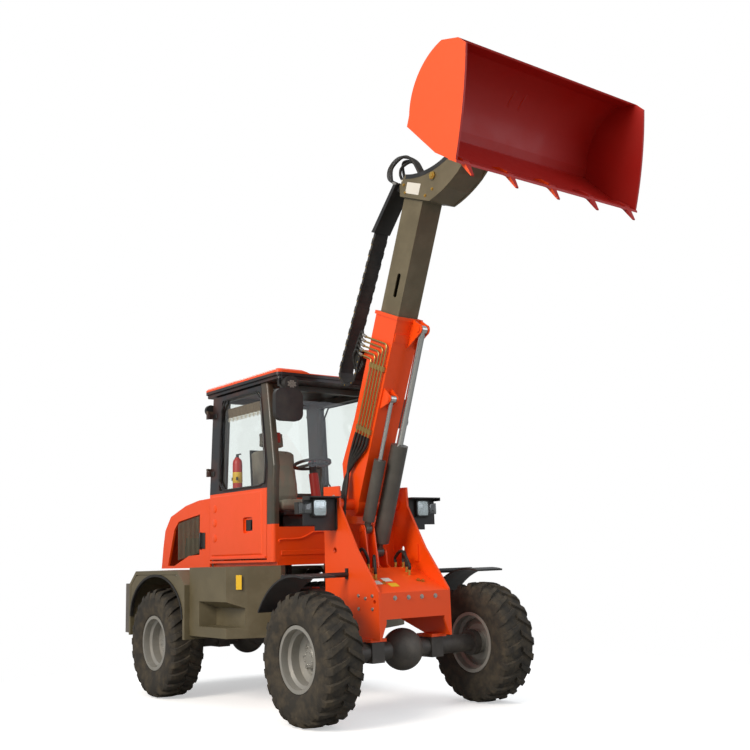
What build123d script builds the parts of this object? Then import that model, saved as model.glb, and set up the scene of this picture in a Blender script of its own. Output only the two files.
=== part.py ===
from build123d import *
import os
from math import acos, atan2, cos, degrees, hypot, radians, sin, sqrt, tan

# Compact telescopic wheel loader, articulated at mid wheelbase.
# Millimetres. +X forward, +Y left, +Z up. X = 0 is the articulation pin, Z = 0 the machine datum;
# every exported piece is shifted so that the origin lies under the middle of the whole machine.

# ---------------------------------------------------------------- overall sizes
WHEELBASE = 2450
HUB_Z = 469
TYRE_R = 492
TYRE_WIDTH = 318
WHEEL_Y = 865
RIM_R = 247
RIM_HALF = 133
REAR_OVERHANG = 1025
BODY_HALF = 950
LIFT = TYRE_R - HUB_Z
AXLE_X = WHEELBASE / 2
REAR_X = -AXLE_X - REAR_OVERHANG

# fits and seams
SEAM = 0.3
PIN_FIT = 0.05
MOVE = 6
ROD_FIT = 0.45

# ---------------------------------------------------------------- front frame (tower)
TOWER_OUT = 365
TOWER_SKIN = 20
TOWER_IN = TOWER_OUT - TOWER_SKIN
TOWER_REAR = 690
TOWER_WALL_Z = 1480
BOOM_PIN = (760, 1640)
BOOM_PIN_R = 30
DECK_Z = 1106
DECK_X = 990
DECK_T = 16
CROSS_X = AXLE_X + 187
CROSS_T = 22
CROSS_TOP = 920
CROSS_BOTTOM = 720
FLANGE_W = 50
TIE_HOLE = (838, 1260)
TIE_HOLE_R = 25
JACK_HOLE = (AXLE_X + 132, 855)
JACK_HOLE_R = 16
TONGUE_R = 110
KING_PIN_R = 35
KING_Z = 745

# ---------------------------------------------------------------- boom
BOOM_ANGLE = 67.5
BOOM_HALF = 125
BOOM_LOW = -85
BOOM_HIGH = 215
BOOM_WALL = 10
BOOM_END = 1643
BOOM_FOOT_R = 100
INNER_GAP = 12.5
INNER_HALF = BOOM_HALF - BOOM_WALL - INNER_GAP
INNER_LOW = BOOM_LOW + BOOM_WALL + 15
INNER_HIGH = BOOM_HIGH - BOOM_WALL - 15
INNER_WALL = 8
INNER_START = 1250
INNER_END = 2599
HEAD_HALF = INNER_HALF + 33.5
HEAD_SKIN = 20
HEAD_IN = HEAD_HALF - HEAD_SKIN
PIVOT_R = 30
LINK_PIN_R = 22

# ---------------------------------------------------------------- bucket, in its own level frame
BUCKET_HEEL = (2627, 4149)
BUCKET_DUMP = 43
BUCKET_HALF = 920
BUCKET_SIDE = 16
BUCKET_SKIN = 12
BUCKET_PIVOT = (-250, 130)
BUCKET_ARM = (-20, 270)
BUCKET_LIP = (222.6, 688)
LEVER_PIVOT = (1977, 4160)
TEETH = 5

# ---------------------------------------------------------------- cylinders: pins in side view
LIFT_Y = 82
LIFT_FOOT = (839, 1237)
LIFT_TOP = (1575, -178)
LIFT_BARREL_R = 72.5
LIFT_ROD_R = 28.5
LIFT_BARREL = (92, 934)
COMP_Y = -68
COMP_FOOT = (885, 1430)
COMP_TOP = (969, -161)
COMP_BARREL_R = 50
COMP_ROD_R = 17.5
COMP_BARREL = (70, 596)
CYL_PIN_R = 22
COMP_PIN_R = 18
ROD_EYE_HALF = 26
EAR_T = 12
LIFT_EARS = (40, 119)
COMP_EARS = (-105, -30)
PIN_END_GAP = 1
PIN_HEAD = 14

# ---------------------------------------------------------------- steering cylinder
STEER_FOOT = (-190, 175)
STEER_EYE = (330, 175)
STEER_Z = 745
STEER_PIN_R = 14
STEER_BARREL = (36, 330)
STEER_EYE_T = 38

# ---------------------------------------------------------------- body sides and chassis
AXLE_SEAT = HUB_Z + 80
BODY_TOP = 1150
BODY_BOTTOM = 560
BODY_IN = 500
ARCH_IN = WHEEL_Y - 295
ARCH_OUT = WHEEL_Y + 135
RAIL_OUT = 250
RAIL_T = 20
RAIL_TOP = 930
WEIGHT_X = -AXLE_X - 635

# ---------------------------------------------------------------- cab and hood
CAB_HALF = 620
CAB_TOP_HALF = 580
BELT_Z = 1830
EAVE_Z = 2750
CAB_BASE = 1206
FLOOR_Z = 1200
CAB_REAR = -850
DOOR_REAR = CAB_REAR + 12
DOOR_TOP = 2735
POST_X = -660
WALL = 40
ROOF_REAR = -952
ROOF_FRONT = 388
ROOF_TOP = 2840
RAIL_Z = 1800
HOOD_HALF = CAB_HALF - 8
HOOD_T = 22
HOOD_PIVOT = (CAB_REAR - 15, 1818)
HINGE = (CAB_REAR + 4, CAB_HALF + 20)
HINGE_Z = (2010, 2560)

# ================================================================ helpers


def side(y):
    """Side-view plane at y: local x runs forward, local y up, extrusion runs towards -Y."""
    return Plane(origin=(0, y, 0), x_dir=(1, 0, 0), z_dir=(0, -1, 0))


def boom_side(y):
    """Plane along the boom at y: local x from the boom pin to the bucket, local y to the boom's back."""
    along = (cos(radians(BOOM_ANGLE)), 0, sin(radians(BOOM_ANGLE)))
    return Plane(origin=(BOOM_PIN[0], y, BOOM_PIN[1]), x_dir=along, z_dir=(0, -1, 0))


def bucket_side(y):
    """Plane of the bucket at y: local x along its floor from heel to edge, local y up its back."""
    along = (cos(radians(BUCKET_DUMP)), 0, -sin(radians(BUCKET_DUMP)))
    return Plane(origin=(BUCKET_HEEL[0], y, BUCKET_HEEL[1]), x_dir=along, z_dir=(0, -1, 0))


def boom_point(s, h):
    a = radians(BOOM_ANGLE)
    return (BOOM_PIN[0] + s * cos(a) - h * sin(a), BOOM_PIN[1] + s * sin(a) + h * cos(a))


def bucket_point(a, b):
    t = radians(BUCKET_DUMP)
    return (BUCKET_HEEL[0] + a * cos(t) + b * sin(t), BUCKET_HEEL[1] - a * sin(t) + b * cos(t))


def to_boom(x, z):
    a = radians(BOOM_ANGLE)
    dx = x - BOOM_PIN[0]
    dz = z - BOOM_PIN[1]
    return (dx * cos(a) + dz * sin(a), -dx * sin(a) + dz * cos(a))


def slab(plane_at, points, y_low, y_high, mode=Mode.ADD, radius=0):
    """Outline drawn on a side plane, filled and given its width from y_low to y_high."""
    with BuildSketch(plane_at(y_high)) as outline:
        with BuildLine():
            if radius:
                FilletPolyline(*points, radius=radius, close=True)
            else:
                Polyline(*points, close=True)
        make_face()
    extrude(outline.sketch, amount=y_high - y_low, mode=mode)


def disc(plane_at, centre, r, y_low, y_high, mode=Mode.ADD):
    """Round bar or bore across the machine."""
    with BuildSketch(plane_at(y_high)) as end:
        with Locations(centre):
            Circle(r)
    extrude(end.sketch, amount=y_high - y_low, mode=mode)


def outward(sign, y):
    """Side-view plane facing out of the machine on either hand; local x is -sign times machine x."""
    return Plane(origin=(0, sign * y, 0), x_dir=(-sign, 0, 0), z_dir=(0, sign, 0))


def block(x0, x1, y0, y1, z0, z1, mode=Mode.ADD):
    with Locations(((x0 + x1) / 2, (y0 + y1) / 2, (z0 + z1) / 2)):
        Box(x1 - x0, y1 - y0, z1 - z0, mode=mode)


def front_slab(x0, x1, points, mode=Mode.ADD):
    """Outline seen from the front, in y and z, filled from x0 to x1."""
    with BuildSketch(Plane(origin=(x0, 0, 0), x_dir=(0, 1, 0), z_dir=(1, 0, 0))) as outline:
        with BuildLine():
            Polyline(*points, close=True)
        make_face()
    extrude(outline.sketch, amount=x1 - x0, mode=mode)


def band(plane, centre, r_out, r_in, start, turn, width):
    """Curved plate of even thickness between two angles, drawn on a side plane."""
    x, z = centre
    with BuildSketch(plane) as skin:
        with BuildLine():
            for r in (r_out, r_in):
                CenterArc(centre, r, start, turn)
            for a in (radians(start), radians(start + turn)):
                Line((x + r_out * cos(a), z + r_out * sin(a)), (x + r_in * cos(a), z + r_in * sin(a)))
        make_face()
    extrude(skin.sketch, amount=width)


def tapered(sign, near, far, mode=Mode.ADD):
    """Loft between two upright rectangles on one hand of the machine, each (y, x0, x1, z0, z1)."""
    ends = []
    for y, x0, x1, z0, z1 in (near, far):
        with BuildSketch(outward(sign, y)) as end:
            with Locations((-sign * (x0 + x1) / 2, (z0 + z1) / 2)):
                Rectangle(x1 - x0, z1 - z0)
        ends.append(end.sketch)
    loft(ends, ruled=True, mode=mode)


def bar(start, end, r, mode=Mode.ADD):
    """Round bar between two points in space."""
    line = Vector(*end) - Vector(*start)
    with BuildSketch(Plane(origin=start, z_dir=line)) as end:
        Circle(r)
    extrude(end.sketch, amount=line.length, mode=mode)


ORIGIN_X = (bucket_point(*BUCKET_LIP)[0] + REAR_X) / 2
PLACE = Location((-ORIGIN_X, 0, LIFT))
os.makedirs("parts", exist_ok=True)


def save(piece, name):
    placed = piece.part.moved(PLACE)
    placed.label = name
    export_step(placed, "parts/" + name + ".step")


PB = bucket_point(*BUCKET_PIVOT)
PT = bucket_point(BUCKET_PIVOT[0] + BUCKET_ARM[0], BUCKET_PIVOT[1] + BUCKET_ARM[1])
PG = LEVER_PIVOT
PL = (PG[0] + PT[0] - PB[0], PG[1] + PT[1] - PB[1])

# ================================================================ wheels
HUB_FACE = 30
SPINDLE_R = 40
SPINDLE_END = 0
RIM_SKIN = 9
DISH_Y = -30

for axle, x in (("front", AXLE_X), ("rear", -AXLE_X)):
    for hand, sign in (("left", 1), ("right", -1)):
        across = Plane(origin=(x, sign * WHEEL_Y, HUB_Z), x_dir=(1, 0, 0), z_dir=(0, 0, 1))
        half = TYRE_WIDTH / 2
        with BuildPart() as tyre:
            with BuildSketch(across):
                with BuildLine():
                    Polyline((RIM_R - 20, -RIM_HALF + 8), (RIM_R - 20, RIM_HALF - 8), (RIM_R + 4, RIM_HALF - 7))
                    Line((RIM_R + 4, RIM_HALF - 7), (RIM_R + 6, RIM_HALF + 4))
                    ThreePointArc((RIM_R + 6, RIM_HALF + 4), (RIM_R + 105, half), (TYRE_R - 42, half - 6))
                    Polyline((TYRE_R - 42, half - 6), (TYRE_R - 12, half - 22), (TYRE_R, half - 60))
                    Line((TYRE_R, half - 60), (TYRE_R, 60 - half))
                    Polyline((TYRE_R, 60 - half), (TYRE_R - 12, 22 - half), (TYRE_R - 42, 6 - half))
                    ThreePointArc((TYRE_R - 42, 6 - half), (RIM_R + 105, -half), (RIM_R + 6, -RIM_HALF - 4))
                    Line((RIM_R + 6, -RIM_HALF - 4), (RIM_R + 4, -RIM_HALF + 7))
                    Line((RIM_R + 4, -RIM_HALF + 7), (RIM_R - 20, -RIM_HALF + 8))
                make_face()
            revolve(axis=Axis((x, sign * WHEEL_Y, HUB_Z), (0, 1, 0)))
        save(tyre, "tyre_" + axle + "_" + hand)

        seat_r = RIM_R - 20 - SEAM
        out = sign
        with BuildPart() as rim:
            with BuildSketch(across):
                with BuildLine():
                    Polyline(
                        (seat_r, RIM_HALF - 7.7), (RIM_R, RIM_HALF - 6.7), (RIM_R, RIM_HALF),
                        (seat_r - RIM_SKIN + 2, RIM_HALF), (seat_r - RIM_SKIN, RIM_HALF - 30),
                        (seat_r - RIM_SKIN, 60), (seat_r - 34, 40), (seat_r - 34, -60),
                        (seat_r - RIM_SKIN, -75), (seat_r - RIM_SKIN, -RIM_HALF + 20),
                        (seat_r - RIM_SKIN + 2, -RIM_HALF), (RIM_R, -RIM_HALF),
                        (RIM_R, -RIM_HALF + 6.7), (seat_r, -RIM_HALF + 7.7), close=True)
                make_face()
            revolve(axis=Axis((x, sign * WHEEL_Y, HUB_Z), (0, 1, 0)))
            with BuildSketch(across):
                with BuildLine():
                    Polyline(
                        (SPINDLE_R + PIN_FIT, out * (DISH_Y - 62)), (SPINDLE_R + PIN_FIT, out * (SPINDLE_END + 6)),
                        (0, out * (SPINDLE_END + 6)), (0, out * HUB_FACE), (62, out * HUB_FACE),
                        (76, out * (HUB_FACE - 12)), (80, out * (DISH_Y + 22)), (118, out * (DISH_Y + 22)),
                        (122, out * DISH_Y), (150, out * DISH_Y), (seat_r - 30, out * (DISH_Y + 22)),
                        (seat_r - 30, out * (DISH_Y + 4)), (150, out * (DISH_Y - 14)),
                        (95, out * (DISH_Y - 14)), (90, out * (DISH_Y - 62)), close=True)
                make_face()
            revolve(axis=Axis((x, sign * WHEEL_Y, HUB_Z), (0, 1, 0)))
        save(rim, "rim_" + axle + "_" + hand)

# ================================================================ axles
SPINDLE_HOUSING_R = 105
DRIVE_R = 165
for axle, x in (("front", AXLE_X), ("rear", -AXLE_X)):
    with BuildPart() as housing:
        reach = WHEEL_Y + DISH_Y - 62 - MOVE
        bar((x, -reach, HUB_Z), (x, reach, HUB_Z), 72)
        bar((x, -WHEEL_Y, HUB_Z), (x, WHEEL_Y, HUB_Z), SPINDLE_R)
        for sign in (1, -1):
            bar((x, sign * (reach - 60), HUB_Z), (x, sign * reach, HUB_Z), SPINDLE_HOUSING_R)
            block(x - 80, x + 80, sign * 300 - 60, sign * 300 + 60, HUB_Z - 80, HUB_Z + 80)
        with Locations((x, 0, HUB_Z)):
            Sphere(DRIVE_R)
        toward = -1 if x > 0 else 1
        bar((x, 0, HUB_Z), (x + toward * 250, 0, HUB_Z), 70)
    save(housing, axle + "_axle")

# ================================================================ front frame
EAR_Z = DECK_Z - 8
with BuildPart() as front_frame:
    outline = [
        (TOWER_REAR, 1786), (909, 1781), (917, 1617), (1136, 1265), (CROSS_X - 2, 930),
        (CROSS_X + 3, 565), (AXLE_X - 125, 565), (TOWER_REAR, 700),
    ]
    for sign in (1, -1):
        y0 = min(sign * TOWER_IN, sign * TOWER_OUT)
        slab(side, outline, y0, y0 + TOWER_SKIN)
        disc(side, TIE_HOLE, TIE_HOLE_R, y0, y0 + TOWER_SKIN, Mode.SUBTRACT)
        disc(side, JACK_HOLE, JACK_HOLE_R, y0, y0 + TOWER_SKIN, Mode.SUBTRACT)
        # foot on the axle pad, reaching outward
        foot0 = min(sign * 230, sign * 385)
        block(AXLE_X - 95, AXLE_X + 95, foot0, foot0 + 155, AXLE_SEAT, AXLE_SEAT + 24)
        # boss that carries the boom pin
        inner0 = min(sign * (BOOM_HALF + 2), sign * TOWER_IN)
        disc(side, BOOM_PIN, 48, inner0, inner0 + TOWER_IN - BOOM_HALF - 2)
        # stiffening strip inside the plate, and the tapering flange at its front corner
        strip0 = min(sign * (TOWER_IN - 12), sign * TOWER_IN)
        block(1006, 1060, strip0, strip0 + 12, 1150, 1295)
        flange = [(TOWER_IN, CROSS_TOP), (TOWER_IN - FLANGE_W, CROSS_TOP), (TOWER_IN - FLANGE_W, 690), (TOWER_IN, 570)]
        front_slab(CROSS_X - CROSS_T, CROSS_X, [(sign * y, z) for y, z in flange])
    disc(side, BOOM_PIN, BOOM_PIN_R, -TOWER_OUT - 8, TOWER_OUT + 8)
    # crossmember, deck and rear wall between the plates
    block(CROSS_X - CROSS_T, CROSS_X, -TOWER_IN, TOWER_IN, CROSS_BOTTOM, CROSS_TOP)
    slab(side, [(CROSS_X, CROSS_TOP - DECK_T), (CROSS_X, CROSS_TOP), (DECK_X, DECK_Z), (TOWER_REAR + 10, DECK_Z),
                (TOWER_REAR + 10, DECK_Z - DECK_T), (DECK_X - 3, DECK_Z - DECK_T)], -TOWER_IN, TOWER_IN)
    block(TOWER_REAR, TOWER_REAR + 20, -TOWER_IN, TOWER_IN, 700, TOWER_WALL_Z)
    # ears of the lift cylinder and of the levelling cylinder
    lift_ear = [(770, EAR_Z), (955, EAR_Z), (900, EAR_Z + 36), (884, 1245), (839, 1285), (795, 1255)]
    for y in (LIFT_Y - 47, LIFT_Y + 47):
        slab(side, lift_ear, y - 8, y + 8)
    disc(side, LIFT_FOOT, CYL_PIN_R, LIFT_Y - 62, LIFT_Y + 62)
    comp_ear = [(830, EAR_Z), (975, EAR_Z), (925, 1430), (910, 1464), (870, 1464), (852, 1430)]
    for y in (COMP_Y - 47, COMP_Y + 47):
        slab(side, comp_ear, y - 6, y + 6)
    disc(side, COMP_FOOT, CYL_PIN_R, COMP_Y - 62, COMP_Y + 62)
    # tongues of the articulation joint
    for z in (600, 850):
        block(0, TOWER_REAR + 10, -TONGUE_R, TONGUE_R, z, z + 40)
        with Locations((0, 0, z + 20)):
            Cylinder(TONGUE_R, 40)
    with Locations((0, 0, KING_Z)):
        Cylinder(KING_PIN_R, 400)
    block(TOWER_REAR - 50, TOWER_REAR + 10, -225, 225, 600, 890)
    # ears that take the eye of the steering rod, with the heads of its split pin
    for z, head in ((STEER_Z - 44, STEER_Z - 48), (STEER_Z + 22, STEER_Z + 48)):
        block(STEER_EYE[0], TOWER_REAR - 45, STEER_EYE[1] - 30, STEER_EYE[1] + 30, z, z + 22)
        with Locations((STEER_EYE[0], STEER_EYE[1], z + 11)):
            Cylinder(30, 22)
        with Locations((STEER_EYE[0], STEER_EYE[1], head)):
            Cylinder(STEER_PIN_R + 6, 10)
save(front_frame, "front_frame")

# ================================================================ rear chassis
with BuildPart() as rear_chassis:
    rail = [(-230, 560), (-230, RAIL_TOP), (WEIGHT_X + SEAM, RAIL_TOP), (WEIGHT_X + SEAM, 640),
            (-AXLE_X - 175, AXLE_SEAT), (-AXLE_X + 175, AXLE_SEAT)]
    for sign in (1, -1):
        y0 = min(sign * (RAIL_OUT - RAIL_T), sign * RAIL_OUT)
        slab(side, rail, y0, y0 + RAIL_T)
    block(-250, -230, -RAIL_OUT, RAIL_OUT, 545, 945)
    for z in (556, 644, 806, 894):
        block(-240, 0, -TONGUE_R - 10, TONGUE_R + 10, z, z + 40)
        with Locations((0, 0, z + 20)):
            Cylinder(TONGUE_R + 10, 40)
    with Locations((0, 0, KING_Z)):
        Cylinder(KING_PIN_R + PIN_FIT, 500, mode=Mode.SUBTRACT)
    block(WEIGHT_X + SEAM, WEIGHT_X + 25, -RAIL_OUT + 15, RAIL_OUT - 15, 640, RAIL_TOP)
    for sign in (1, -1):
        y0 = min(sign * (RAIL_OUT - 15), sign * 365)
        block(-AXLE_X - 90, -AXLE_X + 90, y0, y0 + 130, AXLE_SEAT, AXLE_SEAT + 26)
        # outriggers to the body sides and wheel arches
        for x, reach in ((WEIGHT_X + 74, ARCH_IN), (-AXLE_X + 645, BODY_IN), (-300, BODY_IN)):
            y0 = min(sign * (RAIL_OUT - 10), sign * (reach - SEAM))
            block(x, x + 30, y0, y0 + reach - SEAM - RAIL_OUT + 10, 700, 780)
        # post below the rear of the cab
        y0 = min(sign * (RAIL_OUT - 50), sign * RAIL_OUT)
        block(CAB_REAR, CAB_REAR + 60, y0, y0 + 50, RAIL_TOP - 10, BODY_TOP)
    # ears that hold the foot of the steering cylinder
    for z in (STEER_Z - 44, STEER_Z + 22):
        block(-235, STEER_FOOT[0], STEER_FOOT[1] - 30, STEER_FOOT[1] + 30, z, z + 22)
        with Locations((STEER_FOOT[0], STEER_FOOT[1], z + 11)):
            Cylinder(30, 22)
    with Locations((STEER_FOOT[0], STEER_FOOT[1], STEER_Z)):
        Cylinder(STEER_PIN_R, 96)
save(rear_chassis, "rear_chassis")

# ================================================================ body sides with rear wheel arches
STEP_DEPTH = 150
with BuildPart() as side_bodies:
    arch_front = -AXLE_X + 625
    for sign in (1, -1):
        with BuildSketch(Plane.XY.offset(BODY_BOTTOM)):
            with BuildLine():
                Polyline((arch_front, sign * BODY_IN), (285, sign * BODY_IN), (300, sign * (BODY_IN + 50)),
                         (165, sign * (BODY_HALF - 150)), (70, sign * BODY_HALF),
                         (arch_front, sign * BODY_HALF), close=True)
            make_face()
        extrude(amount=BODY_TOP - BODY_BOTTOM)
        # step recess, its top and ends sloping outward
        tapered(sign, (BODY_HALF - STEP_DEPTH, -380, 120, 650, 800), (BODY_HALF, -416, 406, 646, 860), Mode.SUBTRACT)
        # wheel arch
        lo, hi = (ARCH_IN, ARCH_OUT) if sign > 0 else (-ARCH_OUT, -ARCH_IN)
        arch = [(-565, 520), (-565, 1000), (-415, 1125), (465, 1125), (625, 1000), (625, 526)]
        inner = [(-530, 519), (-530, 985), (-401, 1090), (449, 1090), (585, 985), (585, 519)]
        slab(side, [(x - AXLE_X, z) for x, z in arch], lo, hi)
        slab(side, [(x - AXLE_X, z) for x, z in inner], lo, hi, Mode.SUBTRACT)
save(side_bodies, "side_bodies")

# ================================================================ counterweight
with BuildPart() as counterweight:
    with BuildSketch(Plane.XY.offset(520)):
        with BuildLine():
            FilletPolyline((REAR_X + 30, -860), (WEIGHT_X, -900), (WEIGHT_X, 900), (REAR_X + 30, 860),
                           (REAR_X, 500), (REAR_X, -500), radius=60, close=True)
        make_face()
    extrude(amount=480)
    block(REAR_X - 10, REAR_X + 110, -60, 60, 640, 740, Mode.SUBTRACT)
    with Locations((REAR_X + 60, 0, 750)):
        Cylinder(16, 560, mode=Mode.SUBTRACT)
save(counterweight, "counterweight")

# ================================================================ engine, as one plain block
with BuildPart() as engine:
    block(-AXLE_X - 555, -AXLE_X + 175, -220, 220, 640, 1240)
    for x in (-AXLE_X - 425, -AXLE_X + 75):
        block(x - 40, x + 40, RAIL_T - RAIL_OUT + SEAM, RAIL_OUT - RAIL_T - SEAM, 700, 760)
save(engine, "engine")

# ================================================================ hood
HOOD_FRONT = CAB_REAR - MOVE
HOOD_BOTTOM = 1140
GRILLE_FRONT = -1057
t = HOOD_T
hood_outer = [(HOOD_FRONT, 1785), (-1080, 1779), (-AXLE_X - 129, 1742), (-AXLE_X - 459, 1650), (-AXLE_X - 583, 1515),
              (-AXLE_X - 624, 1356), (-AXLE_X - 662, HOOD_BOTTOM), (HOOD_FRONT, HOOD_BOTTOM)]
hood_inner = [(HOOD_FRONT + 10, 1785 - t), (-1080, 1779 - t), (-AXLE_X - 125, 1742 - t), (-AXLE_X - 448, 1650 - t),
              (-AXLE_X - 563, 1510), (-AXLE_X - 603, 1356), (-AXLE_X - 643, HOOD_BOTTOM - 10),
              (HOOD_FRONT + 10, HOOD_BOTTOM - 10)]
grille = [(GRILLE_FRONT, 1645), (-AXLE_X - 280, 1595), (-AXLE_X - 379, 1518), (-AXLE_X - 520, 1165),
          (-AXLE_X - 372, 1165), (-AXLE_X - 61, 1256), (GRILLE_FRONT - 7, 1266)]
with BuildPart() as engine_hood:
    slab(side, hood_outer, -HOOD_HALF, HOOD_HALF)
    slab(side, hood_inner, -HOOD_HALF + t, HOOD_HALF - t, Mode.SUBTRACT)
    slab(side, grille, -HOOD_HALF - 50, HOOD_HALF + 50, Mode.SUBTRACT)
    block(-AXLE_X - 725, -AXLE_X - 555, -380, 380, 1240, 1440, Mode.SUBTRACT)
    # knuckles on the pivot above the front edge
    for y in (-300, 300):
        block(HOOD_PIVOT[0] - 14, HOOD_FRONT - 3, y - 30, y + 30, 1770, HOOD_PIVOT[1] - 6)
        disc(side, HOOD_PIVOT, 14, y - 30, y + 30)
        disc(side, HOOD_PIVOT, 6 + PIN_FIT, y - 40, y + 40, Mode.SUBTRACT)
save(engine_hood, "engine_hood")

with BuildPart() as hood_grilles:
    for y in (-HOOD_HALF + 6, HOOD_HALF - 14):
        slab(side, grille, y, y + 8)
        with BuildSketch(side(y + 8)):
            with BuildLine():
                Polyline(*grille, close=True)
            make_face()
            offset(amount=-SEAM, mode=Mode.INTERSECT)
        extrude(amount=8, mode=Mode.INTERSECT)
    slab(side, [(-AXLE_X - 595, 1440), (-AXLE_X - 587, 1440), (-AXLE_X - 637, 1240), (-AXLE_X - 645, 1240)],
         -380 + SEAM, 380 - SEAM)
save(hood_grilles, "hood_grilles")

# ================================================================ cab
PILLAR_T = 60
PILLAR_ROUND = 28
POST_OUT = WALL + MOVE
POST_IN = POST_OUT + 44
RAIL_LOW = 2690
GLASS_TOP = 2700
CAB_LOW = CAB_BASE - 26
LEAN = (CAB_HALF - CAB_TOP_HALF) / (EAVE_Z - BELT_Z)


def half_width(z):
    return CAB_HALF if z < BELT_Z else CAB_HALF - (z - BELT_Z) * LEAN


def wall(sign, x0, x1, z0, z1, outer, inner, mode=Mode.ADD):
    """Side wall of the cab: upright to the belt line and leaning in above it; depths count inward."""
    edge = [(z0, half_width(z0))]
    if z0 < BELT_Z < z1:
        edge.append((BELT_Z, CAB_HALF))
    edge.append((z1, half_width(z1)))
    points = [(sign * (w - outer), z) for z, w in edge] + [(sign * (w - inner), z) for z, w in reversed(edge)]
    front_slab(x0, x1, points, mode)


def between(depth, x0, x1):
    """Cuts cross pieces to the clear width between the pillars, depth counted from the outside."""
    w = [(half_width(z) - depth - SEAM, z) for z in (1100, BELT_Z, EAVE_Z)]
    front_slab(x0, x1, w + [(-y, z) for y, z in reversed(w)], Mode.INTERSECT)


def screen_x(z):
    """Front face of the windscreen pillars."""
    if z < 2000:
        return 285 + (z - 1180) * 21 / 820
    return 306 - (z - 2000) * 158 / 750


with BuildPart() as cab_frame:
    for sign in (1, -1):
        wall(sign, -120, 320, CAB_LOW, EAVE_Z, 0, PILLAR_T)
    slab(side, [(185, CAB_LOW), (285, CAB_LOW), (306, 2000), (148, EAVE_Z), (48, EAVE_Z), (206, 2000)],
         -CAB_HALF - 50, CAB_HALF + 50, Mode.INTERSECT)
    corners = []
    for edge in cab_frame.edges():
        middle = edge.center()
        ahead = abs(middle.X - screen_x(middle.Z)) < 2
        outside = abs(abs(middle.Y) - half_width(middle.Z)) < 2
        if ahead and outside and edge.length > 100:
            corners.append(edge)
    fillet(corners, PILLAR_ROUND)
    # rear posts, upper rails and sills lie behind the doors
    for sign in (1, -1):
        wall(sign, CAB_REAR, POST_X, CAB_LOW, EAVE_Z, POST_OUT, POST_IN)
        wall(sign, CAB_REAR, 90, RAIL_LOW, EAVE_Z, POST_OUT, POST_IN)
        wall(sign, CAB_REAR, 250, CAB_LOW, FLOOR_Z, 0, POST_IN)
    floor_half = CAB_HALF - 45
    block(CAB_REAR, 284, -floor_half, floor_half, BODY_TOP + SEAM, FLOOR_Z)
    header_half = CAB_TOP_HALF - 50
    block(CAB_REAR, CAB_REAR + 50, -header_half, header_half, GLASS_TOP, EAVE_Z - 2)
    block(70, 130, -header_half, header_half, GLASS_TOP, EAVE_Z - 2)
    belt_half = CAB_HALF - POST_OUT - 10
    block(CAB_REAR, CAB_REAR + 50, -belt_half, belt_half, RAIL_Z, RAIL_Z + 40)
    for sign in (1, -1):
        for z in HINGE_Z:
            arm = half_width(z) - POST_OUT - 10
            y0 = min(sign * arm, sign * HINGE[1])
            block(HINGE[0] - 14, HINGE[0] + 2, y0, y0 + HINGE[1] - arm, z + 28, z + 52)
            with Locations((HINGE[0], sign * HINGE[1], z + 40)):
                Cylinder(13, 24)
            with Locations((HINGE[0], sign * HINGE[1], z + 10)):
                Cylinder(6, 60)
    for y in (-300, 300):
        for lo in (y - 62, y + 34):
            block(HOOD_PIVOT[0], CAB_REAR, lo, lo + 28, HOOD_PIVOT[1] - 12, HOOD_PIVOT[1] + 12)
            disc(side, HOOD_PIVOT, 12, lo, lo + 28)
        disc(side, HOOD_PIVOT, 6, y - 50, y + 50)
save(cab_frame, "cab_frame")

ROOF_STEP = 30
with BuildPart() as cab_roof:
    low_half = CAB_TOP_HALF + 18
    top_half = CAB_TOP_HALF + 38
    with BuildSketch(Plane.XY.offset(EAVE_Z)):
        with BuildLine():
            FilletPolyline((ROOF_REAR, -low_half), (ROOF_FRONT - 13, -low_half), (ROOF_FRONT - 13, low_half),
                           (ROOF_REAR, low_half), radius=40, close=True)
        make_face()
    extrude(amount=ROOF_STEP)
    with BuildSketch(Plane.XY.offset(EAVE_Z + ROOF_STEP)):
        with BuildLine():
            FilletPolyline((ROOF_REAR - 2, -top_half), (ROOF_FRONT, -top_half), (ROOF_FRONT, top_half),
                           (ROOF_REAR - 2, top_half), radius=50, close=True)
        make_face()
    extrude(amount=ROOF_TOP - EAVE_Z - ROOF_STEP)
    chamfer(cab_roof.edges().group_by(Axis.Z)[-1], 16)
    # the middle of the front edge dips
    ends = []
    for x, dip in ((150, 2), (ROOF_FRONT + 10, 28)):
        with BuildSketch(Plane(origin=(x, 0, 0), x_dir=(0, 1, 0), z_dir=(1, 0, 0))) as end:
            with BuildLine():
                Polyline((-370, ROOF_TOP + 5), (-280, ROOF_TOP - dip), (280, ROOF_TOP - dip), (370, ROOF_TOP + 5),
                         close=True)
            make_face()
        ends.append(end.sketch)
    loft(ends, ruled=True, mode=Mode.SUBTRACT)
save(cab_roof, "cab_roof")

PANEL_T = 34
SCREEN_LOW = 1475
with BuildPart() as cab_lower_panels:
    slab(side, [(screen_x(CAB_BASE) - PANEL_T, FLOOR_Z + SEAM), (screen_x(CAB_BASE), FLOOR_Z + SEAM),
                (screen_x(SCREEN_LOW), SCREEN_LOW), (screen_x(SCREEN_LOW) - PANEL_T, SCREEN_LOW)],
         -CAB_HALF, CAB_HALF)
    between(PILLAR_T, 0, 400)
    with BuildPart(mode=Mode.PRIVATE) as rear_panel:
        block(CAB_REAR + 4, CAB_REAR + 44, -CAB_HALF, CAB_HALF, FLOOR_Z + SEAM, RAIL_Z - SEAM)
        between(POST_IN, CAB_REAR, POST_X)
    add(rear_panel.part)
save(cab_lower_panels, "cab_lower_panels")

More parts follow.
